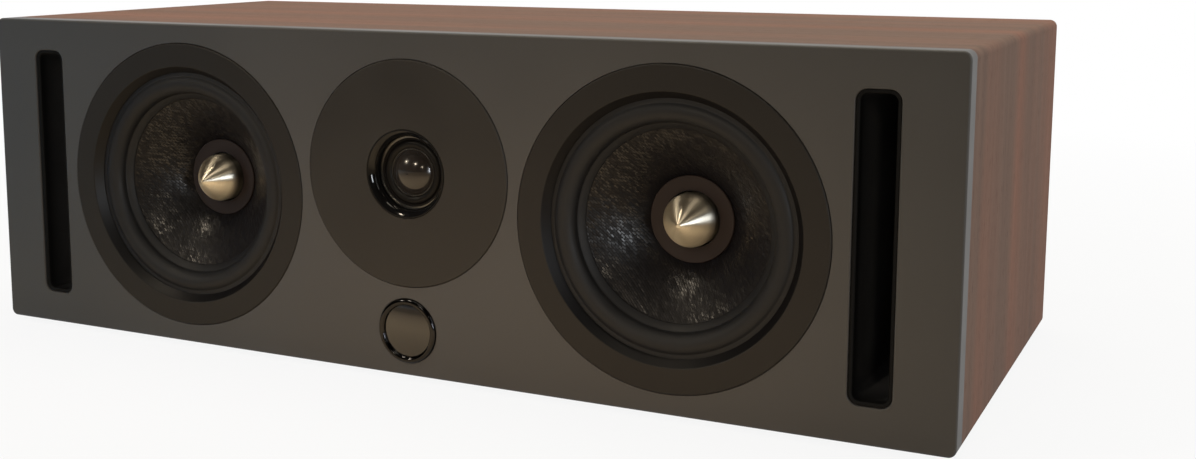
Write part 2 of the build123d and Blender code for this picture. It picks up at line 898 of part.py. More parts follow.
def tweeter_top_plate_piece():
    """Top plate with the raised seat that the surround's rim rests on."""
    outline = (
        (tweeter_gap_radius, tweeter_plate_front),
        (tweeter_roll_radius, tweeter_plate_front),
        (tweeter_roll_radius, dome_edge_depth),
        (tweeter_rim_radius, dome_edge_depth),
        (tweeter_rim_radius, tweeter_plate_front),
        (tweeter_plate_radius, tweeter_plate_front),
        (tweeter_plate_radius, tweeter_plate_back),
        (tweeter_gap_radius, tweeter_plate_back),
    )
    return turned(0, tweeter_z, outline)


def tweeter_back_plate_piece():
    """Back plate and pole of the tweeter, turned in one piece."""
    outline = (
        (0, tweeter_plate_front),
        (tweeter_pole_radius, tweeter_plate_front),
        (tweeter_pole_radius, tweeter_magnet_back),
        (tweeter_plate_radius, tweeter_magnet_back),
        (tweeter_plate_radius, tweeter_yoke_back),
        (0, tweeter_yoke_back),
    )
    return turned(0, tweeter_z, outline)


save(tweeter_trim_disc(), "tweeter_trim_disc")
save(tweeter_faceplate(), "tweeter_faceplate")
save(tweeter_gasket(), "tweeter_gasket")
clamp_inner = throat_radius - clamp_width
clamp_outline = ring_outline(clamp_inner, tweeter_rim_radius, clamp_front, film_front)
save(turned(0, tweeter_z, clamp_outline), "tweeter_clamp_ring")
save(tweeter_surround(), "tweeter_surround")
save(tweeter_dome(), "tweeter_dome")
save(tweeter_voice_coil(), "tweeter_voice_coil")
save(tweeter_top_plate_piece(), "tweeter_top_plate")
tweeter_magnet_outline = ring_outline(
    tweeter_magnet_bore, tweeter_body_radius, tweeter_plate_back, tweeter_magnet_back
)
save(turned(0, tweeter_z, tweeter_magnet_outline), "tweeter_magnet")
save(tweeter_back_plate_piece(), "tweeter_back_plate")

with BuildPart() as tweeter_screws:
    with Locations(face_plane(trim_seat)):
        with Locations((0, tweeter_z)):
            with PolarLocations(tweeter_screw_circle, tweeter_screw_count, start_angle=45):
                add(countersunk_screw())
save(tweeter_screws.part, "tweeter_screws")

# Badge: a plain polished bezel round a plain lens

bezel_inner = badge_radius - badge_rim
with BuildPart() as badge_bezel:
    with BuildSketch(section(0, badge_z)):
        with BuildLine():
            Polyline(
                (badge_radius, 0),
                (badge_radius, badge_pocket),
                (bezel_inner, badge_pocket),
                (bezel_inner, 0),
            )
            SagittaArc((bezel_inner, 0), (badge_radius, 0), -badge_height)
        make_face()
    revolve(axis=driver_axis(0, badge_z))
save(badge_bezel.part, "badge_bezel")

lens_radius = bezel_inner - lens_clearance
lens_sphere = (lens_radius**2 + lens_height**2) / (2 * lens_height)
with BuildPart() as badge_lens:
    with BuildSketch(section(0, badge_z)):
        with Locations((0, lens_sphere - lens_height)):
            Circle(lens_sphere)
        with Locations((0, badge_pocket)):
            Rectangle(
                lens_radius,
                badge_pocket + lens_height,
                align=(Align.MIN, Align.MAX),
                mode=Mode.INTERSECT,
            )
    revolve(axis=driver_axis(0, badge_z))
save(badge_lens.part, "badge_lens")

# Terminal cup in the rear panel, with two binding posts

post_places = ((-post_spacing / 2, cup_z), (post_spacing / 2, cup_z))
with BuildPart() as terminal_cup:
    with BuildSketch(rear_plane(0)):
        with Locations((0, cup_z)):
            RectangleRounded(cup_flange_width, cup_flange_height, cup_flange_corner)
    extrude(amount=-cup_flange_thickness)
    with BuildSketch(rear_plane(cup_flange_thickness)):
        with Locations((0, cup_z)):
            RectangleRounded(cup_body_width, cup_body_height, cup_corner)
    extrude(amount=-(cup_depth + cup_wall - cup_flange_thickness), taper=cup_taper)
    with BuildSketch(rear_plane(0)):
        with Locations((0, cup_z)):
            RectangleRounded(cup_opening_width, cup_opening_height, cup_corner - cup_wall)
    extrude(amount=-cup_depth, taper=cup_taper, mode=Mode.SUBTRACT)
    with Locations(rear_plane(0)):
        with Locations(*((x, cup_z + z) for x, z in cup_screw_places)):
            CounterSinkHole(
                screw_shank + screw_clearance,
                screw_head + screw_clearance,
                depth=cup_flange_thickness,
                counter_sink_angle=90,
            )
    with Locations(rear_plane(cup_depth)):
        with Locations(*post_places):
            Hole(post_radius + nut_clearance, cup_wall)
save(terminal_cup.part, "terminal_cup")

with BuildPart() as terminal_screws:
    with Locations(rear_plane(0)):
        with Locations(*((x, cup_z + z) for x, z in cup_screw_places)):
            add(countersunk_screw())
save(terminal_screws.part, "terminal_screws")

for label, place in (("left", post_places[1]), ("right", post_places[0])):
    with BuildPart() as binding_post:
        with BuildSketch(rear_plane(cup_depth)):
            with Locations(place):
                Circle(post_base_radius)
        extrude(amount=post_base)
        with BuildSketch(rear_plane(cup_depth)):
            with Locations(place):
                Circle(post_radius)
        extrude(amount=post_length)
        with BuildSketch(rear_plane(cup_depth)):
            with Locations(place):
                Circle(post_radius)
        extrude(amount=-(cup_wall + post_tail))
        with BuildSketch(rear_plane(cup_depth + cup_wall)):
            with Locations(place):
                RegularPolygon(post_nut_radius, 6)
        extrude(amount=-post_nut)
        with Locations(rear_plane(cup_depth - post_length)):
            with Locations(place):
                Hole(post_bore, post_bore_depth)
    save(binding_post.part, f"{label}_binding_post")

    with BuildPart() as thumb_nut:
        nut_length = post_length - post_base - nut_lift + nut_wall
        nut_bottom = rear_plane(cup_depth - post_base - nut_lift)
        with BuildSketch(nut_bottom):
            with Locations(place):
                Circle(nut_radius)
                with PolarLocations(nut_radius, nut_flutes):
                    Circle(nut_flute_radius, mode=Mode.SUBTRACT)
        extrude(amount=nut_length)
        with BuildSketch(nut_bottom):
            with Locations(place):
                Circle(post_radius + nut_clearance)
        extrude(amount=nut_length - nut_wall + nut_lift, mode=Mode.SUBTRACT)
        with BuildSketch(nut_bottom):
            with Locations(place):
                Circle(nut_mouth)
        extrude(amount=nut_length, mode=Mode.SUBTRACT)
    save(thumb_nut.part, f"{label}_thumb_nut")

# Crossover on the bottom panel, behind the tweeter

board_middle = rear_y - board_setback
board_top = inner_floor + board_thickness
with BuildPart() as crossover_board:
    with BuildSketch(Plane.XY.offset(inner_floor)):
        with Locations((0, board_middle)):
            Rectangle(board_length, board_depth)
    extrude(amount=board_thickness)
save(crossover_board.part, "crossover_board")

with BuildPart() as crossover_coils:
    with BuildSketch(Plane.XY.offset(board_top)):
        with Locations((-part_spacing / 2, board_middle), (part_spacing / 2, board_middle)):
            Circle(coil_radius)
            Circle(coil_bore, mode=Mode.SUBTRACT)
    extrude(amount=coil_height)
save(crossover_coils.part, "crossover_coils")

capacitor_y = coil_radius + 2 * capacitor_radius
capacitor_places = [
    (x, board_middle + y) for x in (-part_spacing / 2, part_spacing / 2) for y in (-capacitor_y, capacitor_y)
]
with BuildPart() as crossover_capacitors:
    for x, y in capacitor_places:
        end = Plane(origin=(x, y, board_top + capacitor_radius), z_dir=(1, 0, 0))
        with BuildSketch(end):
            Circle(capacitor_radius)
        extrude(amount=capacitor_length / 2, both=True)
save(crossover_capacitors.part, "crossover_capacitors")

# Damping pads behind the woofers

with BuildPart() as damping_pads:
    with BuildSketch(rear_plane(panel)):
        with Locations((-woofer_x, middle_z), (woofer_x, middle_z)):
            RectangleRounded(pad_width, pad_height, pad_round)
    extrude(amount=-pad_thickness)
save(damping_pads.part, "damping_pads")
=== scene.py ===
"""Finishes, soft pieces and studio stage for a center channel speaker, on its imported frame."""

import math

import bpy
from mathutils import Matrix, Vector


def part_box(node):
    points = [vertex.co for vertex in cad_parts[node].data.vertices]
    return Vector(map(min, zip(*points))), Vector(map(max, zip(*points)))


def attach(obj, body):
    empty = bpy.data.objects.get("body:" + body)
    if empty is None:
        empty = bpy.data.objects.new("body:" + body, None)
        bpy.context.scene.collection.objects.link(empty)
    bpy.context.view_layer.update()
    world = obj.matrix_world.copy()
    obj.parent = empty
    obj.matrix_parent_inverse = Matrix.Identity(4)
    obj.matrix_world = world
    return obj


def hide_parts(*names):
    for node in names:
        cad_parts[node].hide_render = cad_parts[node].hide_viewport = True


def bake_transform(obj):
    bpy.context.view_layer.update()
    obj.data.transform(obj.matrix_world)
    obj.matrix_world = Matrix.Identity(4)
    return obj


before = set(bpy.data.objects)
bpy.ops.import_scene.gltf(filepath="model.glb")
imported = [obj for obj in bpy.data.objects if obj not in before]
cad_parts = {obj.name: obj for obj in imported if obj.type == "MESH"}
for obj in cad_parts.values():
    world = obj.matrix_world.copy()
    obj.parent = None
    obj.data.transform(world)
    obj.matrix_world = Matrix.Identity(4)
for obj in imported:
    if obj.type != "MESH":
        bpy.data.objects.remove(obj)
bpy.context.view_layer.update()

bl_info = {
    "name": "Center Channel Speaker",
    "version": (1, 0, 0),
    "blender": (4, 5, 0),
    "location": "View3D > Sidebar > Speaker",
    "description": "Dresses the packed speaker and sets it on a studio stage",
    "category": "Object",
}


def middle_of(node):
    """Middle of a CAD node's box."""
    low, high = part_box(node)
    return (low + high) / 2


def paint(red, green, blue):
    """A colour as it reads on screen, 0 to 255, in the linear values of shaders."""
    shares = (red / 255, green / 255, blue / 255)
    return tuple(s / 12.92 if s <= 0.04045 else ((s + 0.055) / 1.055) ** 2.4 for s in shares)


faceplate_proud = 0.0006
spider_land = 0.004
smooth_angle = math.radians(48)
woofer_middle = middle_of("right_woofer_cone")
tweeter_middle = middle_of("tweeter_dome")
front_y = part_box("tweeter_faceplate")[0].y + faceplate_proud
rear_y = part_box("top_panel")[1].y
copper = paint(196, 118, 72)
steel = paint(168, 168, 164)


# Sizes and colours


def length(name, description, default):
    """A property for a length in metres."""
    return bpy.props.FloatProperty(
        name=name, description=description, default=default, min=0.0, precision=5, unit="LENGTH"
    )


def colour(name, description, default):
    """A property for a colour in linear values."""
    return bpy.props.FloatVectorProperty(
        name=name,
        description=description,
        default=default,
        size=3,
        min=0.0,
        max=1.0,
        subtype="COLOR",
    )


def power(name, description, default):
    """A property for the power of a lamp in watts."""
    return bpy.props.FloatProperty(
        name=name, description=description, default=default, unit="POWER"
    )


class SpeakerSizes(bpy.types.PropertyGroup):
    """Sizes of the pieces that are modelled here and of the patterns on the finishes."""

    woofer_offset: length("Woofer Offset", "From the middle to a woofer's axis", woofer_middle.x)
    woofer_height: length("Woofer Height", "From the floor to the woofers' axes", woofer_middle.z)
    tweeter_height: length("Tweeter Height", "From the floor to its axis", tweeter_middle.z)
    cone_radius: length("Cone Radius", "Where the surround's roll meets the cone", 0.0510)
    roll_radius: length("Roll Radius", "Where the surround's roll meets its rim", 0.0608)
    rim_radius: length("Rim Radius", "Outer edge of the surround's rim", 0.0672)
    roll_rise: length("Roll Rise", "How far the roll stands out from its chord", 0.0036)
    rubber: length("Rubber Thickness", "Wall of the surround", 0.0009)
    rim_depth: length("Rim Depth", "From the baffle's front to the surround's rim", 0.0042)
    lip_depth: length("Lip Depth", "From the baffle's front to the surround's lip", 0.00885)
    lip_width: length("Lip Width", "How far the surround's lip reaches over the cone", 0.0035)
    coil_radius: length("Coil Radius", "Outside of the voice coil's former", 0.0146)
    weave_pitch: length("Weave Pitch", "Width of one thread of the cone's weave", 0.0010)
    veneer_band: length("Veneer Band", "Width of a band of colour in the veneer", 0.055)


class SpeakerColours(bpy.types.PropertyGroup):
    """Colours of the finishes."""

    veneer_red: colour("Veneer Red", "Warm bands of the veneer", paint(125, 94, 82))
    veneer_grey: colour("Veneer Grey", "Greyer bands of the veneer", paint(110, 91, 82))
    veneer_pore: colour("Veneer Pore", "Open pores of the veneer", paint(64, 46, 39))
    lacquer: colour("Lacquer", "Baffle", paint(63, 62, 61))
    trim: colour("Trim", "Trim rings and tweeter disc", paint(31, 29, 27))
    rubber: colour("Rubber", "Woofer surrounds", paint(21, 22, 25))
    weave: colour("Weave", "Threads of the cones", paint(14, 13, 16))
    collar: colour("Collar", "Collars at the cones' necks", paint(35, 29, 28))
    plug: colour("Plug", "Phase plugs", paint(246, 238, 222))
    dome: colour("Dome", "Tweeter dome", paint(34, 31, 29))
    badge: colour("Badge", "Badge lens", paint(22, 22, 24))
    board: colour("Board", "Rear panel", paint(40, 39, 38))
    red_nut: colour("Red Nut", "Thumb nut of the positive post", paint(150, 22, 20))


class SpeakerStage(bpy.types.PropertyGroup):
    """Camera and light of the studio."""

    focal_length: bpy.props.FloatProperty(
        name="Focal Length", description="Lens", default=44.51, min=10.0, unit="CAMERA"
    )
    ambient: bpy.props.FloatProperty(
        name="Ambient", description="Light from all around", default=0.215, min=0.0
    )
    side_light: power("Side Light", "Softbox on the right", 19.0)
    top_light: power("Top Light", "Softbox overhead", 27.0)
    window_light: power("Window Light", "Window at the front right", 8.0)
    fill_light: power("Fill Light", "Fill on the left", 0.3)
    spot_light: power("Spot Light", "Each small lamp in front", 5.2)


# Wiring of materials


class Wiring:
    """A node tree that is being wired, for a material or for a node group."""

    def __init__(self, tree):
        self.tree = tree

    def feed(self, socket, value):
        """Link an input to an output, or set it to a plain value."""
        if isinstance(value, bpy.types.NodeSocket):
            self.tree.links.new(value, socket)
        else:
            socket.default_value = value

    def add(self, kind, inputs=None, **options):
        """Add a node with its options and its named inputs."""
        made = self.tree.nodes.new(kind)
        for option, value in options.items():
            setattr(made, option, value)
        for name, value in (inputs or {}).items():
            self.feed(made.inputs[name], value)
        return made

    def maths(self, operation, *terms):
        """One Math node; each term is a number or an output."""
        made = self.add("ShaderNodeMath", operation=operation)
        for socket, term in zip(made.inputs, terms):
            self.feed(socket, term)
        return made.outputs[0]

    def arch(self, part):
        """A hump over a part from 0 to 1: none at both ends, 1 in the middle."""
        rest = self.maths("SUBTRACT", 1.0, part)
        return self.maths("MULTIPLY", self.maths("MULTIPLY", part, rest), 4.0)

    def vectors(self, operation, first, second):
        """One Vector Math node on two vectors, or on a vector and its scale."""
        terms = {0: first, "Scale" if operation == "SCALE" else 1: second}
        return self.add("ShaderNodeVectorMath", terms, operation=operation).outputs[0]

    def axes(self, vector):
        """Coordinates taken apart, by the names X, Y and Z."""
        return self.add("ShaderNodeSeparateXYZ", {"Vector": vector}).outputs

    def noise(self, vector, scale, detail=2.0, roughness=0.5):
        """Noise value, from 0 to 1."""
        made = self.add(
            "ShaderNodeTexNoise",
            {"Vector": vector, "Scale": scale, "Detail": detail, "Roughness": roughness},
        )
        return made.outputs[0]

    def spread(self, value, low, high, start=0.0, end=1.0):
        """A value's span from low to high, laid over start to end and held there."""
        made = self.add(
            "ShaderNodeMapRange",
            {"Value": value, "From Min": low, "From Max": high, "To Min": start, "To Max": end},
        )
        return made.outputs[0]

    def tint(self, share, first, second):
        """Two colours mixed by a share."""
        terms = {0: share, 6: first, 7: second}
        return self.add("ShaderNodeMix", terms, data_type="RGBA").outputs[2]

    def bump(self, height, distance):
        """Normal of a height given in metres of relief."""
        return self.add("ShaderNodeBump", {"Height": height, "Distance": distance}).outputs[0]

    def seen(self):
        """1 for what is seen, straight, mirrored or through glass, and 0 for scattered light."""
        path = self.add("ShaderNodeLightPath").outputs
        mirrored = self.maths("MAXIMUM", path["Is Glossy Ray"], path["Is Transmission Ray"])
        return self.maths("MAXIMUM", path["Is Camera Ray"], mirrored)

    def mix_shaders(self, share, first, second, out):
        """Two shaders mixed by a share, into an output's Surface."""
        mixed = self.add("ShaderNodeMixShader", {"Fac": share, 1: first, 2: second})
        self.feed(out.inputs["Surface"], mixed.outputs[0])


class Finish(Wiring):
    """A material with one Principled shader on Object coordinates."""

    def __init__(self, name, **plain):
        self.material = bpy.data.materials.new(name)
        self.material.use_nodes = True
        super().__init__(self.material.node_tree)
        self.shader = self.tree.nodes["Principled BSDF"]
        self.place = self.add("ShaderNodeTexCoord").outputs["Object"]
        for socket, value in plain.items():
            self.set(socket.replace("_", " ").title().replace("Ior", "IOR"), value)

    def set(self, socket, value):
        """Set or link an input of the shader."""
        self.feed(self.shader.inputs[socket], value)

    def across(self, axis):
        """One coordinate of the finish."""
        return self.axes(self.place)[axis]

    def reach(self):
        """Distance from the frame's origin."""
        made = self.add("ShaderNodeVectorMath", {0: self.place}, operation="LENGTH")
        return made.outputs["Value"]

    def turns(self, axis, count):
        """Round turns of wire side by side along an axis, so many to the metre."""
        part = self.maths("FRACT", self.maths("MULTIPLY", self.across(axis), count))
        return self.maths("SQRT", self.arch(part))

    def use(self, group, **inputs):
        """Place a node group on this finish's coordinates and return its outputs."""
        made = self.add("ShaderNodeGroup", node_tree=group)
        self.feed(made.inputs["Vector"], inputs.pop("vector", self.place))
        for name, value in inputs.items():
            self.feed(made.inputs[name.replace("_", " ").title()], value)
        return made.outputs


def shared(build):
    """Make a node group once, under its function's name, and then hand out the same one."""
    name = build.__name__.replace("_", " ").title()
    return lambda: bpy.data.node_groups.get(name) or build(name)


def new_group(name, inputs, outputs):
    """A node group with float inputs beside its Vector, and float outputs."""
    group = bpy.data.node_groups.new(name, "ShaderNodeTree")
    group.interface.new_socket("Vector", in_out="INPUT", socket_type="NodeSocketVector")
    for label, default in inputs.items():
        socket = group.interface.new_socket(label, in_out="INPUT", socket_type="NodeSocketFloat")
        socket.default_value = default
    for label in outputs:
        group.interface.new_socket(label, in_out="OUTPUT", socket_type="NodeSocketFloat")
    wiring = Wiring(group)
    start = wiring.add("NodeGroupInput").outputs
    end = wiring.add("NodeGroupOutput").inputs
    return group, wiring, start, end


@shared
def satin_grain(name):
    """Fine grain and broad cloudiness of a moulded, painted or cast surface."""
    inputs = {"Grain": 900.0, "Mottle": 40.0}
    group, wiring, start, end = new_group(name, inputs, ("Height", "Mottle"))
    fine = wiring.noise(start["Vector"], start["Grain"], 3.0, 0.6)
    broad = wiring.noise(start["Vector"], start["Mottle"], 4.0, 0.55)
    wiring.feed(end["Height"], fine)
    wiring.feed(end["Mottle"], wiring.spread(broad, 0.3, 0.7))
    return group


def wavering(wiring, start, slowness):
    """Coordinates counted in threads and pushed about by a slow noise, taken apart."""
    scaled = wiring.vectors("SCALE", start["Vector"], start["Threads"])
    slow = {"Vector": scaled, "Scale": slowness, "Detail": 1.0}
    drift = wiring.add("ShaderNodeTexNoise", slow).outputs["Color"]
    shift = wiring.vectors("SUBTRACT", drift, (0.5, 0.5, 0.5))
    waver = wiring.vectors("SCALE", shift, start["Waver"])
    return wiring.axes(wiring.vectors("ADD", scaled, waver))


def throw_dice(wiring, column, row):
    """Random values that hold over one cell of a weave."""
    cell = wiring.add("ShaderNodeCombineXYZ", {"X": column, "Y": row}).outputs[0]
    return wiring.add("ShaderNodeTexWhiteNoise", {"Vector": cell}).outputs


@shared
def woven_threads(name):
    """Plain weave across X and Z: relief of the threads and a value for each crossing."""
    inputs = {"Threads": 770.0, "Waver": 0.4}
    group, wiring, start, end = new_group(name, inputs, ("Height", "Crossing"))
    split = wavering(wiring, start, 0.35)
    arches = [wiring.arch(wiring.maths("FRACT", split[axis])) for axis in ("X", "Z")]
    cells = [wiring.maths("FLOOR", split[axis]) for axis in ("X", "Z")]
    reliefs = []
    for across, along in (arches, reversed(arches)):
        lift = wiring.maths("MULTIPLY_ADD", along, 0.6, 0.4)
        reliefs.append(wiring.maths("MULTIPLY", wiring.maths("SQRT", across), lift))
    over = wiring.maths("FLOORED_MODULO", wiring.maths("ADD", *cells), 2.0)
    chance = throw_dice(wiring, *cells)["Value"]
    top = wiring.add("ShaderNodeMix", {0: over, 2: reliefs[0], 3: reliefs[1]}, data_type="FLOAT")
    swell = wiring.maths("MULTIPLY_ADD", chance, 0.8, 0.5)
    wiring.feed(end["Height"], wiring.maths("MULTIPLY", top.outputs[0], swell))
    wiring.feed(end["Crossing"], chance)
    return group


@shared
def twill_threads(name):
    """Twill across X and Z: long floats along Z, each row set on a little from the last."""
    row_shift = 1.15
    float_length = 2.7
    inputs = {"Threads": 1250.0, "Waver": 0.5, "Round": 0.4, "Tilt": 0.5}
    group, wiring, start, end = new_group(name, inputs, ("Height", "Float", "Dash"))
    split = wavering(wiring, start, 0.3)
    row = wiring.maths("FLOOR", split["X"])
    shifted = wiring.maths("ADD", split["Z"], wiring.maths("MULTIPLY", row, row_shift))
    run = wiring.maths("DIVIDE", shifted, float_length)
    parts = (wiring.maths("FRACT", split["X"]), wiring.maths("FRACT", run))
    arches = [wiring.arch(part) for part in parts]
    dice = throw_dice(wiring, row, wiring.maths("FLOOR", run))
    throws = wiring.add("ShaderNodeSeparateColor", {"Color": dice["Color"]}).outputs
    tilts = []
    for part, throw in zip(parts, throws):
        tilts.append(wiring.maths("MULTIPLY", wiring.maths("SUBTRACT", throw, 0.5), part))
    lift = wiring.maths("MULTIPLY_ADD", arches[1], 0.7, 0.3)
    crown = wiring.maths("MULTIPLY", arches[0], lift)
    relief = wiring.maths("MULTIPLY", crown, start["Round"])
    tilt = wiring.maths("MULTIPLY", wiring.maths("ADD", *tilts), start["Tilt"])
    wiring.feed(end["Height"], wiring.maths("ADD", relief, tilt))
    wiring.feed(end["Float"], dice["Value"])
    middle = wiring.spread(wiring.maths("MULTIPLY", *arches), 0.2, 0.6)
    chosen = wiring.spread(throws["Blue"], 0.3, 0.8)
    wiring.feed(end["Dash"], wiring.maths("MULTIPLY", middle, chosen))
    return group


@shared
def turned_rings(name):
    """Tool marks about an axis along Y, mirrored on both sides of the speaker."""
    inputs = {"Offset": 0.0, "Height": 0.0, "Rings": 3000.0}
    group, wiring, start, end = new_group(name, inputs, ("Ring", "Smudge", "Radius"))
    split = wiring.axes(start["Vector"])
    across = wiring.maths("SUBTRACT", wiring.maths("ABSOLUTE", split["X"]), start["Offset"])
    up = wiring.maths("SUBTRACT", split["Z"], start["Height"])
    squares = [wiring.maths("MULTIPLY", part, part) for part in (across, up)]
    radius = wiring.maths("SQRT", wiring.maths("ADD", *squares))
    along = wiring.add("ShaderNodeCombineXYZ", {"X": radius, "Y": split["Y"]})
    wiring.feed(end["Ring"], wiring.noise(along.outputs[0], start["Rings"], 2.0, 0.6))
    wiring.feed(end["Smudge"], wiring.noise(start["Vector"], 160.0, 3.0))
    wiring.feed(end["Radius"], radius)
    return group


@shared
def wood_grain(name):
    """Grain that runs along X on the top and on down the sides: bands, fibres and pores."""
    outputs = ("Band", "Streak", "Fibre", "Pore")
    group, wiring, start, end = new_group(name, {"Bands": 33.0}, outputs)
    along = wiring.vectors("MULTIPLY", start["Vector"], (0.05, 1.0, 0.05))
    band = wiring.noise(along, start["Bands"], 2.0, 0.55)
    streak = wiring.noise(along, wiring.maths("MULTIPLY", start["Bands"], 7.0), 3.0, 0.6)
    fine = wiring.vectors("MULTIPLY", start["Vector"], (0.012, 1.0, 0.012))
    fibre = wiring.noise(fine, 1300.0, 2.0, 0.6)
    short = wiring.vectors("MULTIPLY", start["Vector"], (0.06, 1.0, 0.06))
    pore = wiring.noise(short, 1900.0, 1.0, 0.5)
    wiring.feed(end["Band"], wiring.spread(band, 0.38, 0.62))
    wiring.feed(end["Streak"], wiring.spread(streak, 0.3, 0.7))
    wiring.feed(end["Fibre"], fibre)
    wiring.feed(end["Pore"], wiring.spread(pore, 0.64, 0.74))
    return group


# Finishes


def shade(base, share):
    """A colour made darker or lighter, with the alpha that colour sockets take."""
    return (*(min(1.0, part * share) for part in base), 1.0)


# Unevenness of colour, roughness, grains to the metre and relief in metres, by finish
satins = {
    "black_board": (0.10, 0.58, 700.0, 0.00006),
    "raw_board": (0.08, 0.8, 900.0, 0.00004),
    "foot_rubber": (0.15, 0.75, 1600.0, 0.00003),
    "baffle_lacquer": (0.035, 0.48, 1500.0, 0.000012),
    "trim_satin": (0.05, 0.5, 2200.0, 0.000012),
    "surround_rubber": (0.08, 0.56, 2600.0, 0.00002),
    "collar_plastic": (0.10, 0.5, 1800.0, 0.00001),
    "basket_alloy": (0.12, 0.55, 900.0, 0.00006),
    "gasket_foam": (0.2, 0.95, 1100.0, 0.0004),
    "ferrite": (0.12, 0.7, 1200.0, 0.00005),
    "screw_steel": (0.1, 0.4, 2000.0, 0.00001),
    "faceplate_gloss": (0.1, 0.12, 600.0, 0.000002),
    "dome_film": (0.15, 0.18, 300.0, 0.000004),
    "dome_roll": (0.12, 0.4, 2400.0, 0.00001),
    "dome_glue": (0.1, 0.22, 1200.0, 0.000004),
    "badge_lens": (0.1, 0.1, 500.0, 0.000001),
    "cup_plastic": (0.12, 0.52, 1300.0, 0.00005),
    "post_brass": (0.05, 0.24, 1500.0, 0.000004),
    "nut_red": (0.08, 0.3, 900.0, 0.000006),
    "nut_black": (0.1, 0.3, 900.0, 0.000006),
    "board_resin": (0.1, 0.5, 1200.0, 0.00003),
    "capacitor_body": (0.06, 0.3, 700.0, 0.000006),
}


def satin(name, base, mottle=40.0, **plain):
    """A painted, moulded, cast or rubber surface: cloudy colour, grain and an uneven gloss."""
    uneven, rough, grain, relief = satins[name]
    finish = Finish(name, **plain)
    surface = finish.use(satin_grain(), grain=grain, mottle=mottle)
    cloudy = finish.tint(surface["Mottle"], shade(base, 1 - uneven), shade(base, 1 + uneven))
    finish.set("Base Color", cloudy)
    gloss = finish.maths("MULTIPLY_ADD", surface["Mottle"], 0.12, rough - 0.06)
    finish.set("Roughness", gloss)
    finish.set("Normal", finish.bump(surface["Height"], relief))
    return finish.material


def turned_metal(name, base, offset, height, rough, relief=0.00002, **plain):
    """Lathe-turned metal: fine rings in colour, gloss and relief."""
    finish = Finish(name, metallic=1.0, **plain)
    marks = finish.use(turned_rings(), offset=offset, height=height)
    ring = finish.tint(marks["Ring"], shade(base, 0.86), shade(base, 1.1))
    finish.set("Base Color", ring)
    gloss = finish.maths("MULTIPLY_ADD", marks["Smudge"], 0.14, rough - 0.07)
    finish.set("Roughness", gloss)
    finish.set("Normal", finish.bump(marks["Ring"], relief))
    return finish


def duct_finish():
    """Grey moulded plastic, painted black on the rim that shows in the baffle."""
    finish = Finish("duct_plastic", specular_ior_level=0.08)
    surface = finish.use(satin_grain(), grain=1400.0, mottle=40.0)
    inside = finish.spread(finish.across("Y"), front_y + 0.004, front_y + 0.030)
    grey = paint(82, 83, 86)
    cloudy = finish.tint(surface["Mottle"], shade(grey, 0.85), shade(grey, 1.15))
    finish.set("Base Color", finish.tint(inside, shade(grey, 0.06), cloudy))
    finish.set("Roughness", finish.maths("MULTIPLY_ADD", surface["Mottle"], 0.12, 0.54))
    finish.set("Normal", finish.bump(surface["Height"], 0.00002))
    return finish.material


def ring_finish(colours, sizes):
    """Satin paint on the face of a trim ring, and near black on its inner wall as painted shade
    inside the opening.
    """
    finish = Finish("ring_satin", specular_ior_level=0.25)
    surface = finish.use(satin_grain(), grain=2200.0, mottle=30.0)
    marks = finish.use(turned_rings(), offset=sizes.woofer_offset, height=sizes.woofer_height)
    wall_radius = 0.0663
    # Painted shade: inside this radius the inner wall of the opening is made near black.
    face = finish.spread(marks["Radius"], wall_radius, wall_radius + 0.0005)
    cloudy = finish.tint(surface["Mottle"], shade(colours.trim, 0.95), shade(colours.trim, 1.05))
    finish.set("Base Color", finish.tint(face, shade(colours.weave, 0.6), cloudy))
    finish.set("Roughness", finish.spread(face, 0.0, 1.0, 0.44, 0.5))
    finish.set("Normal", finish.bump(surface["Height"], 0.000012))
    return finish.material


def coil_finish(base, depth):
    """A dark former with copper wire wound round it behind a depth, with painted shade in the
    grooves between turns.
    """
    finish = Finish("coil_copper", specular_ior_level=0.1)
    turn = finish.turns("Y", 2800.0)
    start = front_y + depth
    wound = finish.spread(finish.across("Y"), start - 0.0001, start + 0.0001)
    # Painted shade: the wire's colour darkens towards the grooves between turns.
    wire = finish.tint(turn, shade(base, 0.3), shade(base, 1.0))
    finish.set("Base Color", finish.tint(wound, (0.012, 0.012, 0.013, 1.0), wire))
    finish.set("Metallic", wound)
    finish.set("Roughness", finish.spread(turn, 0.0, 1.0, 0.55, 0.3))
    finish.set("Normal", finish.bump(turn, 0.0001))
    return finish.material


def veneer_finish(colours, sizes):
    """Walnut-like veneer under a thin matt oil."""
    finish = Finish("veneer", specular_ior_level=0.04)
    grain = finish.use(wood_grain(), bands=1.0 / sizes.veneer_band)
    red, grey, pore = (
        shade(tone, 1.0) for tone in (colours.veneer_red, colours.veneer_grey, colours.veneer_pore)
    )
    banded = finish.tint(grain["Band"], red, grey)
    streak = finish.spread(grain["Streak"], 0.0, 1.0, 0.90, 1.08)
    fibre = finish.spread(grain["Fibre"], 0.3, 0.7, 0.9, 1.07)
    both = finish.maths("MULTIPLY", streak, fibre)
    toned = finish.vectors("SCALE", banded, both)
    face = finish.spread(finish.across("Y"), rear_y - 0.0012, rear_y - 0.0004, 0.8, 0.0)
    open_pore = finish.maths("MULTIPLY", grain["Pore"], face)
    finish.set("Base Color", finish.tint(open_pore, toned, pore))
    finish.set("Roughness", finish.maths("MULTIPLY_ADD", grain["Fibre"], 0.16, 0.62))
    relief = finish.maths("SUBTRACT", grain["Fibre"], finish.maths("MULTIPLY", grain["Pore"], 0.8))
    finish.set("Normal", finish.bump(relief, 0.00005))
    return finish.material


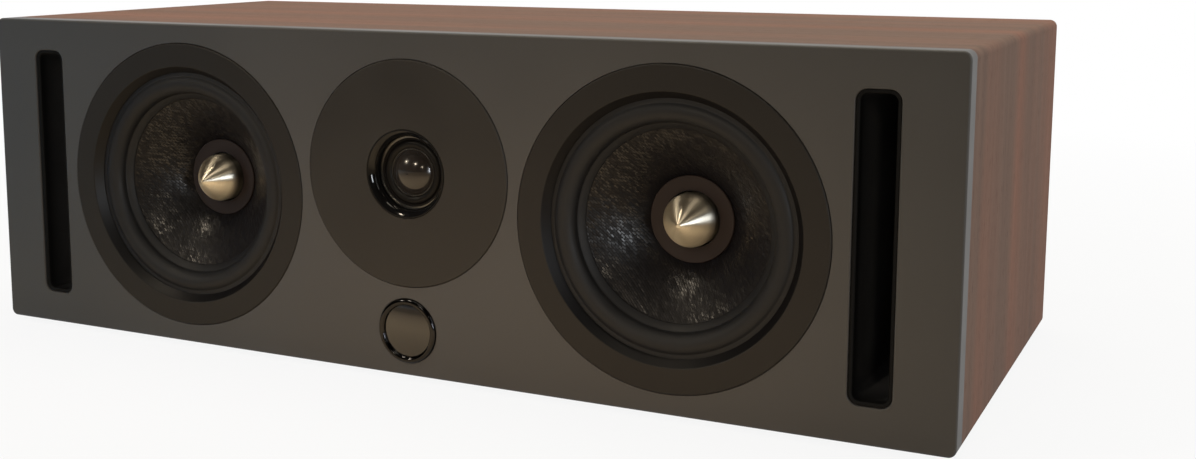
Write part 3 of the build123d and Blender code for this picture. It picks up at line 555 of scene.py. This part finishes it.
def weave_finish(colours, sizes):
    """Black woven fibre, set in resin so that single threads catch the light."""
    finish = Finish("cone_weave", specular_ior_level=0.22, coat_roughness=0.27)
    weave_turn = -0.73
    lay = {"Vector": finish.place, "Rotation": (0.0, weave_turn, 0.0)}
    turn = finish.add("ShaderNodeMapping", lay, vector_type="TEXTURE")
    pitch = 1.0 / sizes.weave_pitch
    threads = finish.use(
        twill_threads(), vector=turn.outputs[0], threads=pitch, waver=0.3, round=0.16, tilt=0.8
    )
    dull = shade(colours.weave, 0.7)
    finish.set("Base Color", finish.tint(threads["Float"], dull, shade(colours.weave, 1.3)))
    finish.set("Roughness", finish.spread(threads["Float"], 0.0, 1.0, 0.52, 0.36))
    finish.set("Coat Weight", finish.maths("MULTIPLY", threads["Dash"], 0.72))
    finish.set("Normal", finish.bump(threads["Height"], 0.0003))
    finish.set("Coat Normal", finish.bump(threads["Height"], 0.00012))
    return finish.material


def cloth_finish(name, base, threads, rough):
    """Plain cloth, for the spiders, with painted shade in the hollows between threads."""
    finish = Finish(name, specular_ior_level=0.3)
    weave = finish.use(woven_threads(), threads=threads, waver=0.3)
    # Painted shade: the cloth is darker where the threads lie low.
    finish.set("Base Color", finish.tint(weave["Height"], shade(base, 0.6), shade(base, 1.1)))
    finish.set("Roughness", finish.spread(weave["Crossing"], 0.0, 1.0, rough - 0.08, rough + 0.08))
    finish.set("Normal", finish.bump(weave["Height"], 0.0003))
    return finish.material


def wound_wire(name, base, wires, along):
    """Enamelled wire wound in layers, its turns stacked along one axis, with painted shade in the
    grooves between turns.
    """
    finish = Finish(name, coat_weight=0.3)
    turn = finish.turns(along, wires)
    # Painted shade: the colour darkens towards the grooves between turns.
    finish.set("Base Color", finish.tint(turn, shade(base, 0.3), shade(base, 1.0)))
    finish.set("Metallic", turn)
    finish.set("Roughness", finish.spread(turn, 0.0, 1.0, 0.55, 0.25))
    finish.set("Normal", finish.bump(turn, 0.5 / wires))
    return finish.material


def wadding_finish(name, base):
    """Loose white fibre fill."""
    finish = Finish(name, sheen_weight=0.4, specular_ior_level=0.1)
    fibres = finish.use(satin_grain(), grain=420.0, mottle=55.0)
    finish.set("Base Color", finish.tint(fibres["Mottle"], shade(base, 0.8), shade(base, 1.05)))
    finish.set("Roughness", finish.spread(fibres["Height"], 0.3, 0.7, 0.85, 1.0))
    finish.set("Normal", finish.bump(fibres["Height"], 0.003))
    return finish.material


def woofer_parts(*parts):
    """Names of the parts of both woofers."""
    return [f"{side}_woofer_{part}" for side in ("left", "right") for part in parts]


def dress(material, *nodes):
    """Give CAD nodes or new pieces a finish, in their material slots."""
    for name in nodes:
        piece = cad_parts.get(name) or bpy.data.objects[name]
        if not piece.material_slots:
            piece.data.materials.append(material)
        for slot in piece.material_slots:
            slot.material = material


# Modelling


def context_object(name):
    """Name the piece that was just added."""
    made = bpy.context.active_object
    made.name = name
    made.data.name = name
    return made


def bow(first, last, rise, steps):
    """Points of an arc from first to last, standing out to the front by its rise."""
    start = Vector(first)
    span = Vector(last) - start
    front = Vector((span.y, -span.x)).normalized()
    if front.y > 0:
        front = -front
    half = span.length / 2
    radius = (half * half + rise * rise) / (2 * rise)
    hub = start + span / 2 - front * (radius - rise)
    sweep = math.asin(min(1.0, half / radius))
    points = []
    for index in range(steps + 1):
        angle = -sweep + 2 * sweep * index / steps
        along = span.normalized() * radius * math.sin(angle)
        points.append(tuple(hub + front * radius * math.cos(angle) + along))
    return points


def turn_profile(name, profile, centre, steps):
    """Extrude one vertex along a profile of (radius, depth) points and spin it round an axis."""
    bpy.ops.object.select_all(action="DESELECT")
    first = (centre.x + profile[0][0], front_y + profile[0][1], centre.z)
    bpy.ops.mesh.primitive_plane_add(size=0.0002, location=first)
    piece = context_object(name)
    bpy.ops.object.mode_set(mode="EDIT")
    bpy.ops.mesh.merge(type="CENTER")
    closing = () if profile[0][0] == profile[-1][0] == 0 else (profile[0],)
    for last, point in zip(profile, (*profile[1:], *closing)):
        step = (point[0] - last[0], point[1] - last[1], 0.0)
        bpy.ops.mesh.extrude_region_move(TRANSFORM_OT_translate={"value": step})
    bpy.ops.mesh.select_all(action="SELECT")
    hub = (centre.x, front_y, centre.z)
    bpy.ops.mesh.spin(steps=steps, angle=2 * math.pi, center=hub, axis=(0.0, 1.0, 0.0))
    bpy.ops.mesh.select_all(action="SELECT")
    bpy.ops.mesh.remove_doubles(threshold=0.000002)
    bpy.ops.mesh.normals_make_consistent(inside=False)
    bpy.ops.object.mode_set(mode="OBJECT")
    bpy.ops.object.transform_apply(location=True, rotation=True, scale=True)
    bpy.ops.object.shade_smooth_by_angle(angle=smooth_angle)
    return piece


def bend_with(piece, body, centre, inner, outer):
    """Bake a soft ring's place into its mesh."""
    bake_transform(piece)


def woofer_centres(sizes):
    """Name and axis of each woofer."""
    ends = (("left", -sizes.woofer_offset), ("right", sizes.woofer_offset))
    return [(side, Vector((x, front_y, sizes.woofer_height))) for side, x in ends]


def surround_profile(sizes):
    """Outline of the half-roll: rim, roll and sloping lip, front first and then back."""
    thick = sizes.rubber
    cone, roll, rim = sizes.cone_radius, sizes.roll_radius, sizes.rim_radius
    lip, rim_front = sizes.lip_depth, sizes.rim_depth
    lip_end = cone - sizes.lip_width
    fall = sizes.lip_width * 0.7
    rim_back = rim_front + 0.0012
    lip_back = lip + thick
    crease = 0.0004
    corner = 0.0003
    front = [(lip_end, lip + fall + thick * 0.7), (lip_end + 0.0002, lip + fall)]
    front.append((cone - crease * 2, lip + crease * 1.4))
    front.append((cone - crease * 0.6, lip + crease * 0.2))
    front += bow((cone, lip - crease), (roll, rim_front), sizes.roll_rise, 22)
    front += [(roll + 0.0006, rim_front), (rim - corner, rim_front)]
    front += [(rim, rim_front + corner), (rim, rim_back)]
    inner = bow((cone + thick, lip_back), (roll - thick / 2, rim_back), sizes.roll_rise, 18)
    back = [*reversed(inner), (cone, lip_back), (lip_end, lip_back + fall)]
    return front + back


def spider_profile(inner, outer, depth, wave, waves, thick):
    """Outline of a corrugated disc with a flat land at each edge."""
    front = [(inner, depth)]
    count = waves * 10
    for index in range(count + 1):
        share = index / count
        radius = inner + spider_land + (outer - inner - 2 * spider_land) * share
        front.append((radius, depth - wave * math.sin(2 * math.pi * waves * share)))
    front.append((outer, depth))
    back = [(radius, deep + thick) for radius, deep in reversed(front)]
    return front + back


def soft_pad(name, back, size):
    """Soft crowned block of fibre fill, flat at the back where it lies on a board."""
    cut = size.y * 0.28
    bpy.ops.object.select_all(action="DESELECT")
    bpy.ops.mesh.primitive_cube_add(size=1.0)
    pad = context_object(name)
    bpy.ops.object.mode_set(mode="EDIT")
    bpy.ops.mesh.select_all(action="SELECT")
    bpy.ops.transform.resize(value=(size.x * 0.97, size.y * 0.8, size.z * 0.97))
    bpy.ops.mesh.subdivide(number_cuts=11)
    bpy.ops.mesh.vertices_smooth(factor=0.5, repeat=7)
    plane = {"plane_co": (0.0, cut, 0.0), "plane_no": (0.0, 1.0, 0.0)}
    bpy.ops.mesh.bisect(**plane, use_fill=True, clear_outer=True)
    bpy.ops.mesh.select_all(action="SELECT")
    bpy.ops.mesh.normals_make_consistent(inside=False)
    bpy.ops.transform.translate(value=(back.x, back.y - cut, back.z))
    bpy.ops.object.mode_set(mode="OBJECT")
    lumps = bpy.data.textures.new(name, "CLOUDS")
    lumps.noise_scale = 0.03
    puff = pad.modifiers.new("lumps", "DISPLACE")
    puff.texture = lumps
    puff.texture_coords = "LOCAL"
    puff.direction = "Y"
    puff.strength = -0.006
    puff.mid_level = 0.0
    front = pad.vertex_groups.new(name="front")
    for vertex in pad.data.vertices:
        front.add([vertex.index], min(1.0, (back.y - vertex.co.y) / (size.y * 0.6)), "REPLACE")
    puff.vertex_group = front.name
    bpy.ops.object.modifier_apply(modifier=puff.name)
    bpy.ops.object.shade_smooth_by_angle(angle=smooth_angle)
    return pad


# Operators, one for each group of pieces


class SpeakerOperator(bpy.types.Operator):
    """Shared ground of the operators."""

    bl_options = {"REGISTER", "UNDO"}

    def values(self, context):
        """Sizes and colours of the speaker."""
        return context.scene.speaker_sizes, context.scene.speaker_colours


class SPEAKER_OT_cabinet(SpeakerOperator):
    """Veneer the boards and finish what carries and lines them"""

    bl_idname = "speaker.cabinet"
    bl_label = "Cabinet"

    def execute(self, context):
        sizes, colours = self.values(context)
        boards = ("top_panel", "bottom_panel", "left_panel", "right_panel")
        dress(veneer_finish(colours, sizes), *boards)
        dress(satin("black_board", colours.board), "rear_panel")
        dress(satin("raw_board", paint(150, 122, 92)), "left_brace", "right_brace")
        dress(duct_finish(), "left_port_duct", "right_port_duct")
        dress(satin("foot_rubber", paint(34, 34, 34)), "rubber_feet")
        return {"FINISHED"}


class SPEAKER_OT_baffle(SpeakerOperator):
    """Lacquer the baffle and finish the flat trims on it"""

    bl_idname = "speaker.baffle"
    bl_label = "Baffle"

    def execute(self, context):
        sizes, colours = self.values(context)
        lacquer = satin("baffle_lacquer", colours.lacquer, mottle=14.0, specular_ior_level=0.3)
        dress(lacquer, "front_baffle")
        lighter = shade(colours.trim, 1.1)[:3]
        trim = satin("trim_satin", lighter, mottle=30.0, specular_ior_level=0.4)
        dress(trim, "tweeter_trim_disc")
        dress(ring_finish(colours, sizes), *woofer_parts("trim_ring"))
        return {"FINISHED"}


class SPEAKER_OT_woofer_soft_parts(SpeakerOperator):
    """Model the rubber surrounds and the corrugated spiders of the woofers"""

    bl_idname = "speaker.woofer_soft_parts"
    bl_label = "Surrounds and Spiders"

    def execute(self, context):
        sizes, colours = self.values(context)
        rubber = satin("surround_rubber", colours.rubber, mottle=70.0, specular_ior_level=0.35)
        cloth = cloth_finish("spider_cloth", paint(176, 140, 70), threads=1200.0, rough=0.8)
        for side, centre in woofer_centres(sizes):
            roll = turn_profile(f"{side}_surround_roll", surround_profile(sizes), centre, steps=180)
            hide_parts(f"{side}_woofer_surround")
            dress(rubber, roll.name)
            bend_with(roll, f"{side}_cone_assembly", centre, sizes.cone_radius, sizes.roll_radius)
            low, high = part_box(f"{side}_woofer_spider")
            outer = (high.x - low.x) / 2
            waves = {"wave": 0.0015, "waves": 4, "thick": 0.0006}
            depth = (low.y + high.y) / 2 - front_y - waves["thick"] / 2
            profile = spider_profile(sizes.coil_radius, outer, depth, **waves)
            disc = turn_profile(f"{side}_spider_disc", profile, centre, steps=120)
            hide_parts(f"{side}_woofer_spider")
            dress(cloth, disc.name)
            flex = (sizes.coil_radius + spider_land, outer - spider_land)
            bend_with(disc, f"{side}_cone_assembly", centre, *flex)
        return {"FINISHED"}


class SPEAKER_OT_woofers(SpeakerOperator):
    """Finish the cones, collars, plugs, baskets and motors of the woofers"""

    bl_idname = "speaker.woofers"
    bl_label = "Woofers"

    def execute(self, context):
        sizes, colours = self.values(context)
        dress(weave_finish(colours, sizes), *woofer_parts("cone"))
        collar = satin("collar_plastic", colours.collar, specular_ior_level=0.18)
        dress(collar, *woofer_parts("collar"))
        axis = (sizes.woofer_offset, sizes.woofer_height)
        lathe_gloss = {"anisotropic": 0.95, "anisotropic_rotation": 0.25}
        plug = turned_metal("plug_metal", colours.plug, *axis, rough=0.36, **lathe_gloss)
        bright = plug.shader.inputs["Base Color"].links[0].from_socket
        # Painted shade: the plug is darkened towards the back behind its shoulder, standing in for
        # the shadow in the gap round the plug.
        shank_shade = plug.spread(plug.across("Y"), front_y + 0.0255, front_y + 0.0310)
        plug.set("Base Color", plug.tint(shank_shade, bright, shade(colours.plug, 0.2)))
        lathe = plug.add("ShaderNodeTangent", direction_type="RADIAL", axis="Y")
        plug.set("Tangent", lathe.outputs[0])
        dress(plug.material, *woofer_parts("phase_plug"))
        dress(satin("basket_alloy", paint(52, 52, 53), metallic=0.6), *woofer_parts("basket"))
        dress(satin("gasket_foam", paint(38, 38, 38)), *woofer_parts("gasket"), "tweeter_gasket")
        winding_depth = 0.051
        dress(coil_finish(copper, winding_depth), *woofer_parts("voice_coil"))
        plate = turned_metal("motor_steel", steel, *axis, rough=0.35)
        dress(plate.material, *woofer_parts("top_plate", "back_plate"))
        dress(satin("ferrite", paint(48, 48, 50)), *woofer_parts("magnet"), "tweeter_magnet")
        screw = satin("screw_steel", paint(58, 58, 60), metallic=1.0)
        dress(screw, "woofer_screws", "tweeter_screws", "terminal_screws")
        return {"FINISHED"}


class SPEAKER_OT_tweeter(SpeakerOperator):
    """Finish the tweeter and model the small roll round its dome"""

    bl_idname = "speaker.tweeter"
    bl_label = "Tweeter"

    def execute(self, context):
        sizes, colours = self.values(context)
        axis = (0.0, sizes.tweeter_height)
        centre = Vector((0.0, front_y, sizes.tweeter_height))
        gloss = satin("faceplate_gloss", paint(13, 13, 14), specular_ior_level=0.3, coat_weight=0.1)
        dress(gloss, "tweeter_faceplate")
        clamp = turned_metal("clamp_metal", paint(150, 148, 145), *axis, rough=0.3)
        dress(clamp.material, "tweeter_clamp_ring")
        dress(satin("dome_film", colours.dome, mottle=120.0, coat_weight=0.35), "tweeter_dome")
        plates = turned_metal("tweeter_steel", steel, *axis, rough=0.35)
        dress(plates.material, "tweeter_top_plate", "tweeter_back_plate")
        wire = wound_wire("tweeter_copper", copper, wires=4000.0, along="Y")
        dress(wire, "tweeter_voice_coil")
        inner, outer, rim = 0.01245, 0.01705, 0.01935
        front, back = 0.0073, 0.0078
        wall = back - front
        rise = 0.0013
        roll_front = bow((inner, front), (outer, front), rise, 14)
        roll_back = bow((inner + wall, back), (outer - wall, back), rise, 12)
        profile = [(inner, back), *roll_front, (rim, front), (rim, back), *reversed(roll_back)]
        roll = turn_profile("dome_roll_ring", profile, centre, steps=96)
        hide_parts("tweeter_surround")
        dress(satin("dome_roll", paint(10, 9, 9), specular_ior_level=0.2), roll.name)
        bend_with(roll, "dome_assembly", centre, inner, outer)
        bead_in, bead_out, bead_back = 0.0119, 0.0127, 0.0075
        crown = bow((bead_in, 0.0074), (bead_out, 0.0071), 0.0003, 6)
        bead = [*crown, (bead_out, bead_back), (bead_in, bead_back)]
        edge = turn_profile("dome_edge_bead", bead, centre, steps=96)
        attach(edge, "dome_assembly")
        dress(satin("dome_glue", paint(28, 27, 26)), edge.name)
        return {"FINISHED"}


class SPEAKER_OT_badge(SpeakerOperator):
    """Finish the plain round badge"""

    bl_idname = "speaker.badge"
    bl_label = "Badge"

    def execute(self, context):
        colours = context.scene.speaker_colours
        height = middle_of("badge_bezel").z
        chrome = {"rough": 0.13, "relief": 0.000002}
        bezel = turned_metal("badge_chrome", paint(54, 54, 56), 0.0, height, **chrome)
        dress(bezel.material, "badge_bezel")
        lens = satin("badge_lens", colours.badge, coat_weight=0.8)
        low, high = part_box("badge_lens")
        radius = (high.x - low.x) / 2
        half = 24
        bulge = bow((-radius, 0.0), (radius, 0.0), front_y - low.y, 2 * half)[half:]
        back = high.y - front_y
        profile = [*bulge, (radius, back), (0.0, back)]
        centre = Vector((0.0, front_y, height))
        dish = turn_profile("badge_lens_dish", profile, centre, steps=96)
        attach(dish, "cabinet")
        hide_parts("badge_lens")
        dress(lens, dish.name)
        return {"FINISHED"}


class SPEAKER_OT_terminals(SpeakerOperator):
    """Finish the cup, posts and thumb nuts at the back"""

    bl_idname = "speaker.terminals"
    bl_label = "Terminals"

    def execute(self, context):
        colours = context.scene.speaker_colours
        dress(satin("cup_plastic", paint(30, 30, 31)), "terminal_cup")
        brass = satin("post_brass", paint(222, 182, 104), metallic=1.0)
        dress(brass, "left_binding_post", "right_binding_post")
        dress(satin("nut_red", colours.red_nut, coat_weight=0.2), "left_thumb_nut")
        dress(satin("nut_black", paint(26, 26, 27), coat_weight=0.2), "right_thumb_nut")
        return {"FINISHED"}


class SPEAKER_OT_inside(SpeakerOperator):
    """Finish the crossover and the damping pads"""

    bl_idname = "speaker.inside"
    bl_label = "Crossover and Pads"

    def execute(self, context):
        dress(satin("board_resin", paint(150, 112, 62)), "crossover_board")
        choke = wound_wire("choke_copper", copper, wires=900.0, along="Z")
        dress(choke, "crossover_coils")
        dress(satin("capacitor_body", paint(176, 150, 60)), "crossover_capacitors")
        wadding = wadding_finish("wadding", paint(214, 212, 206))
        low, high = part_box("damping_pads")
        size = Vector((high.z - low.z, high.y - low.y, high.z - low.z))
        for side, x in (("left", low.x + size.x / 2), ("right", high.x - size.x / 2)):
            pad = soft_pad(f"{side}_wadding_pad", Vector((x, high.y, (low.z + high.z) / 2)), size)
            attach(pad, "cabinet")
            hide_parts("damping_pads")
            dress(wadding, pad.name)
        return {"FINISHED"}


class SPEAKER_OT_stage(SpeakerOperator):
    """Set up the floor, the soft light and the camera"""

    bl_idname = "speaker.stage"
    bl_label = "Stage"

    def execute(self, context):
        scene = context.scene
        stage = scene.speaker_stage
        scene.view_settings.view_transform = "Standard"
        self.floor()
        self.drape()
        self.world(scene, stage)
        self.lamps(stage)
        self.camera(scene, stage)
        return {"FINISHED"}

    def floor(self):
        """Wide pale floor that stays white to the eye and keeps a soft shadow."""
        bpy.ops.object.select_all(action="DESELECT")
        bpy.ops.mesh.primitive_plane_add(size=12.0)
        floor = context_object("studio_floor")
        finish = Finish("studio_floor", roughness=0.9, specular_ior_level=0.0)
        finish.set("Base Color", (0.52, 0.52, 0.52, 1.0))
        glow = finish.add("ShaderNodeEmission", {"Color": (1.0, 1.0, 1.0, 1.0), "Strength": 1.0})
        far = finish.spread(finish.reach(), 0.3, 1.1, 0.9, 1.0)
        share = finish.maths("MULTIPLY", finish.seen(), far)
        out = finish.tree.nodes["Material Output"]
        finish.mix_shaders(share, finish.shader.outputs[0], glow.outputs[0], out)
        dress(finish.material, floor.name)

    def drape(self):
        """Dark half dome with a brown ground before the baffle, which only reflections see: painted
        reflections of a dark room, a lit warm table near the speaker and a cool light on the left.
        """
        bpy.ops.object.select_all(action="DESELECT")
        bpy.ops.mesh.primitive_uv_sphere_add(segments=48, ring_count=24, radius=3.4)
        dome = context_object("studio_drape")
        bpy.ops.object.mode_set(mode="EDIT")
        bpy.ops.mesh.select_all(action="SELECT")
        cut = (0.0, -0.1315, 0.002)
        bpy.ops.mesh.bisect(plane_co=cut, plane_no=(0.0, 0.0, 1.0), use_fill=True, clear_inner=True)
        bpy.ops.mesh.select_all(action="SELECT")
        bpy.ops.mesh.bisect(plane_co=cut, plane_no=(0.0, 1.0, 0.0), clear_outer=True)
        bpy.ops.object.mode_set(mode="OBJECT")
        for kind in ("camera", "diffuse", "shadow", "transmission", "volume_scatter"):
            setattr(dome, f"visible_{kind}", False)
        finish = Finish("studio_drape", roughness=1.0, specular_ior_level=0.0)
        split = finish.axes(finish.place)
        # Painted reflections: the ground is lighter and warmer near the speaker, as a lit table,
        # cooler on the left, and the sheet above it is dark as a dark room.
        painted_pool = finish.spread(finish.reach(), 0.22, 0.6, 1.0, 0.0)
        ground = finish.tint(painted_pool, (0.28, 0.23, 0.17, 1.0), (1.0, 0.82, 0.60, 1.0))
        left = finish.spread(split["X"], -0.85, -0.4, 1.0, 0.0)
        ground = finish.tint(left, ground, (0.36, 0.41, 0.48, 1.0))
        low = finish.spread(split["Z"], 0.0, 0.1, 1.0, 0.0)
        finish.set("Base Color", finish.tint(low, (0.02, 0.019, 0.018, 1.0), ground))
        dress(finish.material, dome.name)

    def world(self, scene, stage):
        """White to the eye and in reflections, with an even light on everything."""
        world = bpy.data.worlds.new("studio")
        scene.world = world
        world.use_nodes = True
        wiring = Wiring(world.node_tree)
        wiring.tree.nodes.clear()
        white = {"Color": (1.0, 1.0, 1.0, 1.0)}
        light = wiring.add("ShaderNodeBackground", {**white, "Strength": stage.ambient})
        glow = wiring.add("ShaderNodeBackground", {**white, "Strength": 1.0})
        out = wiring.add("ShaderNodeOutputWorld")
        wiring.mix_shaders(wiring.seen(), light.outputs[0], glow.outputs[0], out)

    def lamps(self, stage):
        """Softboxes at the right and overhead, a window, small lamps and fills in front."""
        fill_spread = math.radians(50)
        cool = (0.90, 0.95, 1.0)
        sky = (0.38, 0.68, 1.0)
        warm = (1.0, 0.86, 0.66)
        amber = (1.0, 0.72, 0.48)
        mild = (1.0, 0.97, 0.93)
        mellow = (1.0, 0.91, 0.72)
        bounce = stage.fill_light * 0.68
        lamps = (
            ("side_softbox", (2.1, 0.30, 1.0), 1.3, 1.1, stage.side_light, mild, "both"),
            ("top_softbox", (0.1, 0.3, 2.0), 1.6, 1.2, stage.top_light, mellow, "both"),
            ("window", (1.62, -1.10, 0.30), 0.18, 0.5, stage.window_light, cool, "glossy"),
            ("left_spot", (-1.25, -1.35, 1.05), 0.08, 0.08, stage.spot_light, warm, "both"),
            ("middle_spot", (0.0, -1.95, 1.12), 0.08, 0.08, stage.spot_light, warm, "both"),
            ("right_spot", (0.95, -1.75, 0.75), 0.07, 0.07, stage.spot_light * 0.35, warm, "both"),
            ("ceiling_spot", (-0.65, -0.7, 1.65), 0.16, 0.16, stage.spot_light, warm, "both"),
            ("left_fill", (-0.8, -0.8, 0.25), 0.4, 0.3, stage.fill_light, sky, "diffuse"),
            ("table_bounce", (0.04, -0.55, 0.03), 0.4, 0.15, bounce, amber, "diffuse"),
        )
        middle = Vector((0.0, 0.0, 0.1))
        aims = {
            "left_fill": Vector((-0.3, -0.13, 0.1)),
            "table_bounce": Vector((0.04, -0.13, 0.04)),
        }
        for name, place, wide, high, watts, tone, seen in lamps:
            lamp = bpy.data.lights.new(name, "AREA")
            lamp.shape = "RECTANGLE"
            lamp.size = wide
            lamp.size_y = high
            lamp.energy = watts
            lamp.color = tone
            if seen == "diffuse":
                lamp.spread = fill_spread
            holder = bpy.data.objects.new(name, lamp)
            holder.location = place
            holder.visible_camera = False
            holder.visible_diffuse = seen != "glossy"
            holder.visible_glossy = seen != "diffuse"
            beam = aims.get(name, middle) - Vector(place)
            holder.rotation_euler = beam.to_track_quat("-Z", "Y").to_euler()
            bpy.context.scene.collection.objects.link(holder)

    def camera(self, scene, stage):
        """Camera at the photograph's place; the shift follows the photograph's crop."""
        lens = bpy.data.cameras.new("camera")
        lens.sensor_fit = "HORIZONTAL"
        lens.sensor_width = 36.0
        lens.lens = stage.focal_length
        lens.shift_x = 0.048
        lens.shift_y = -0.071
        lens.clip_start = 0.01
        lens.clip_end = 50.0
        camera = bpy.data.objects.new("camera", lens)
        camera.location = (0.39811, -0.76899, 0.23180)
        camera.rotation_euler = (math.radians(81.915), 0.0, math.radians(26.594))
        scene.collection.objects.link(camera)
        scene.camera = camera


class SPEAKER_PT_panel(bpy.types.Panel):
    """Steps and values of the speaker, in the sidebar"""

    bl_label = "Speaker"
    bl_idname = "SPEAKER_PT_panel"
    bl_space_type = "VIEW_3D"
    bl_region_type = "UI"
    bl_category = "Speaker"

    def draw(self, context):
        for step in steps:
            self.layout.operator(step.bl_idname)
        scene = context.scene
        for group in (scene.speaker_sizes, scene.speaker_colours, scene.speaker_stage):
            box = self.layout.box()
            for name in group.__annotations__:
                box.prop(group, name)


steps = (
    SPEAKER_OT_cabinet,
    SPEAKER_OT_baffle,
    SPEAKER_OT_woofer_soft_parts,
    SPEAKER_OT_woofers,
    SPEAKER_OT_tweeter,
    SPEAKER_OT_badge,
    SPEAKER_OT_terminals,
    SPEAKER_OT_inside,
    SPEAKER_OT_stage,
)
classes = (SpeakerSizes, SpeakerColours, SpeakerStage, *steps, SPEAKER_PT_panel)


def register():
    for kind in classes:
        bpy.utils.register_class(kind)
    bpy.types.Scene.speaker_sizes = bpy.props.PointerProperty(type=SpeakerSizes)
    bpy.types.Scene.speaker_colours = bpy.props.PointerProperty(type=SpeakerColours)
    bpy.types.Scene.speaker_stage = bpy.props.PointerProperty(type=SpeakerStage)


def unregister():
    del bpy.types.Scene.speaker_stage
    del bpy.types.Scene.speaker_colours
    del bpy.types.Scene.speaker_sizes
    for kind in reversed(classes):
        bpy.utils.unregister_class(kind)


def main():
    register()
    bpy.ops.speaker.cabinet()
    bpy.ops.speaker.baffle()
    bpy.ops.speaker.woofer_soft_parts()
    bpy.ops.speaker.woofers()
    bpy.ops.speaker.tweeter()
    bpy.ops.speaker.badge()
    bpy.ops.speaker.terminals()
    bpy.ops.speaker.inside()
    bpy.ops.speaker.stage()


if __name__ == "__main__":
    main()
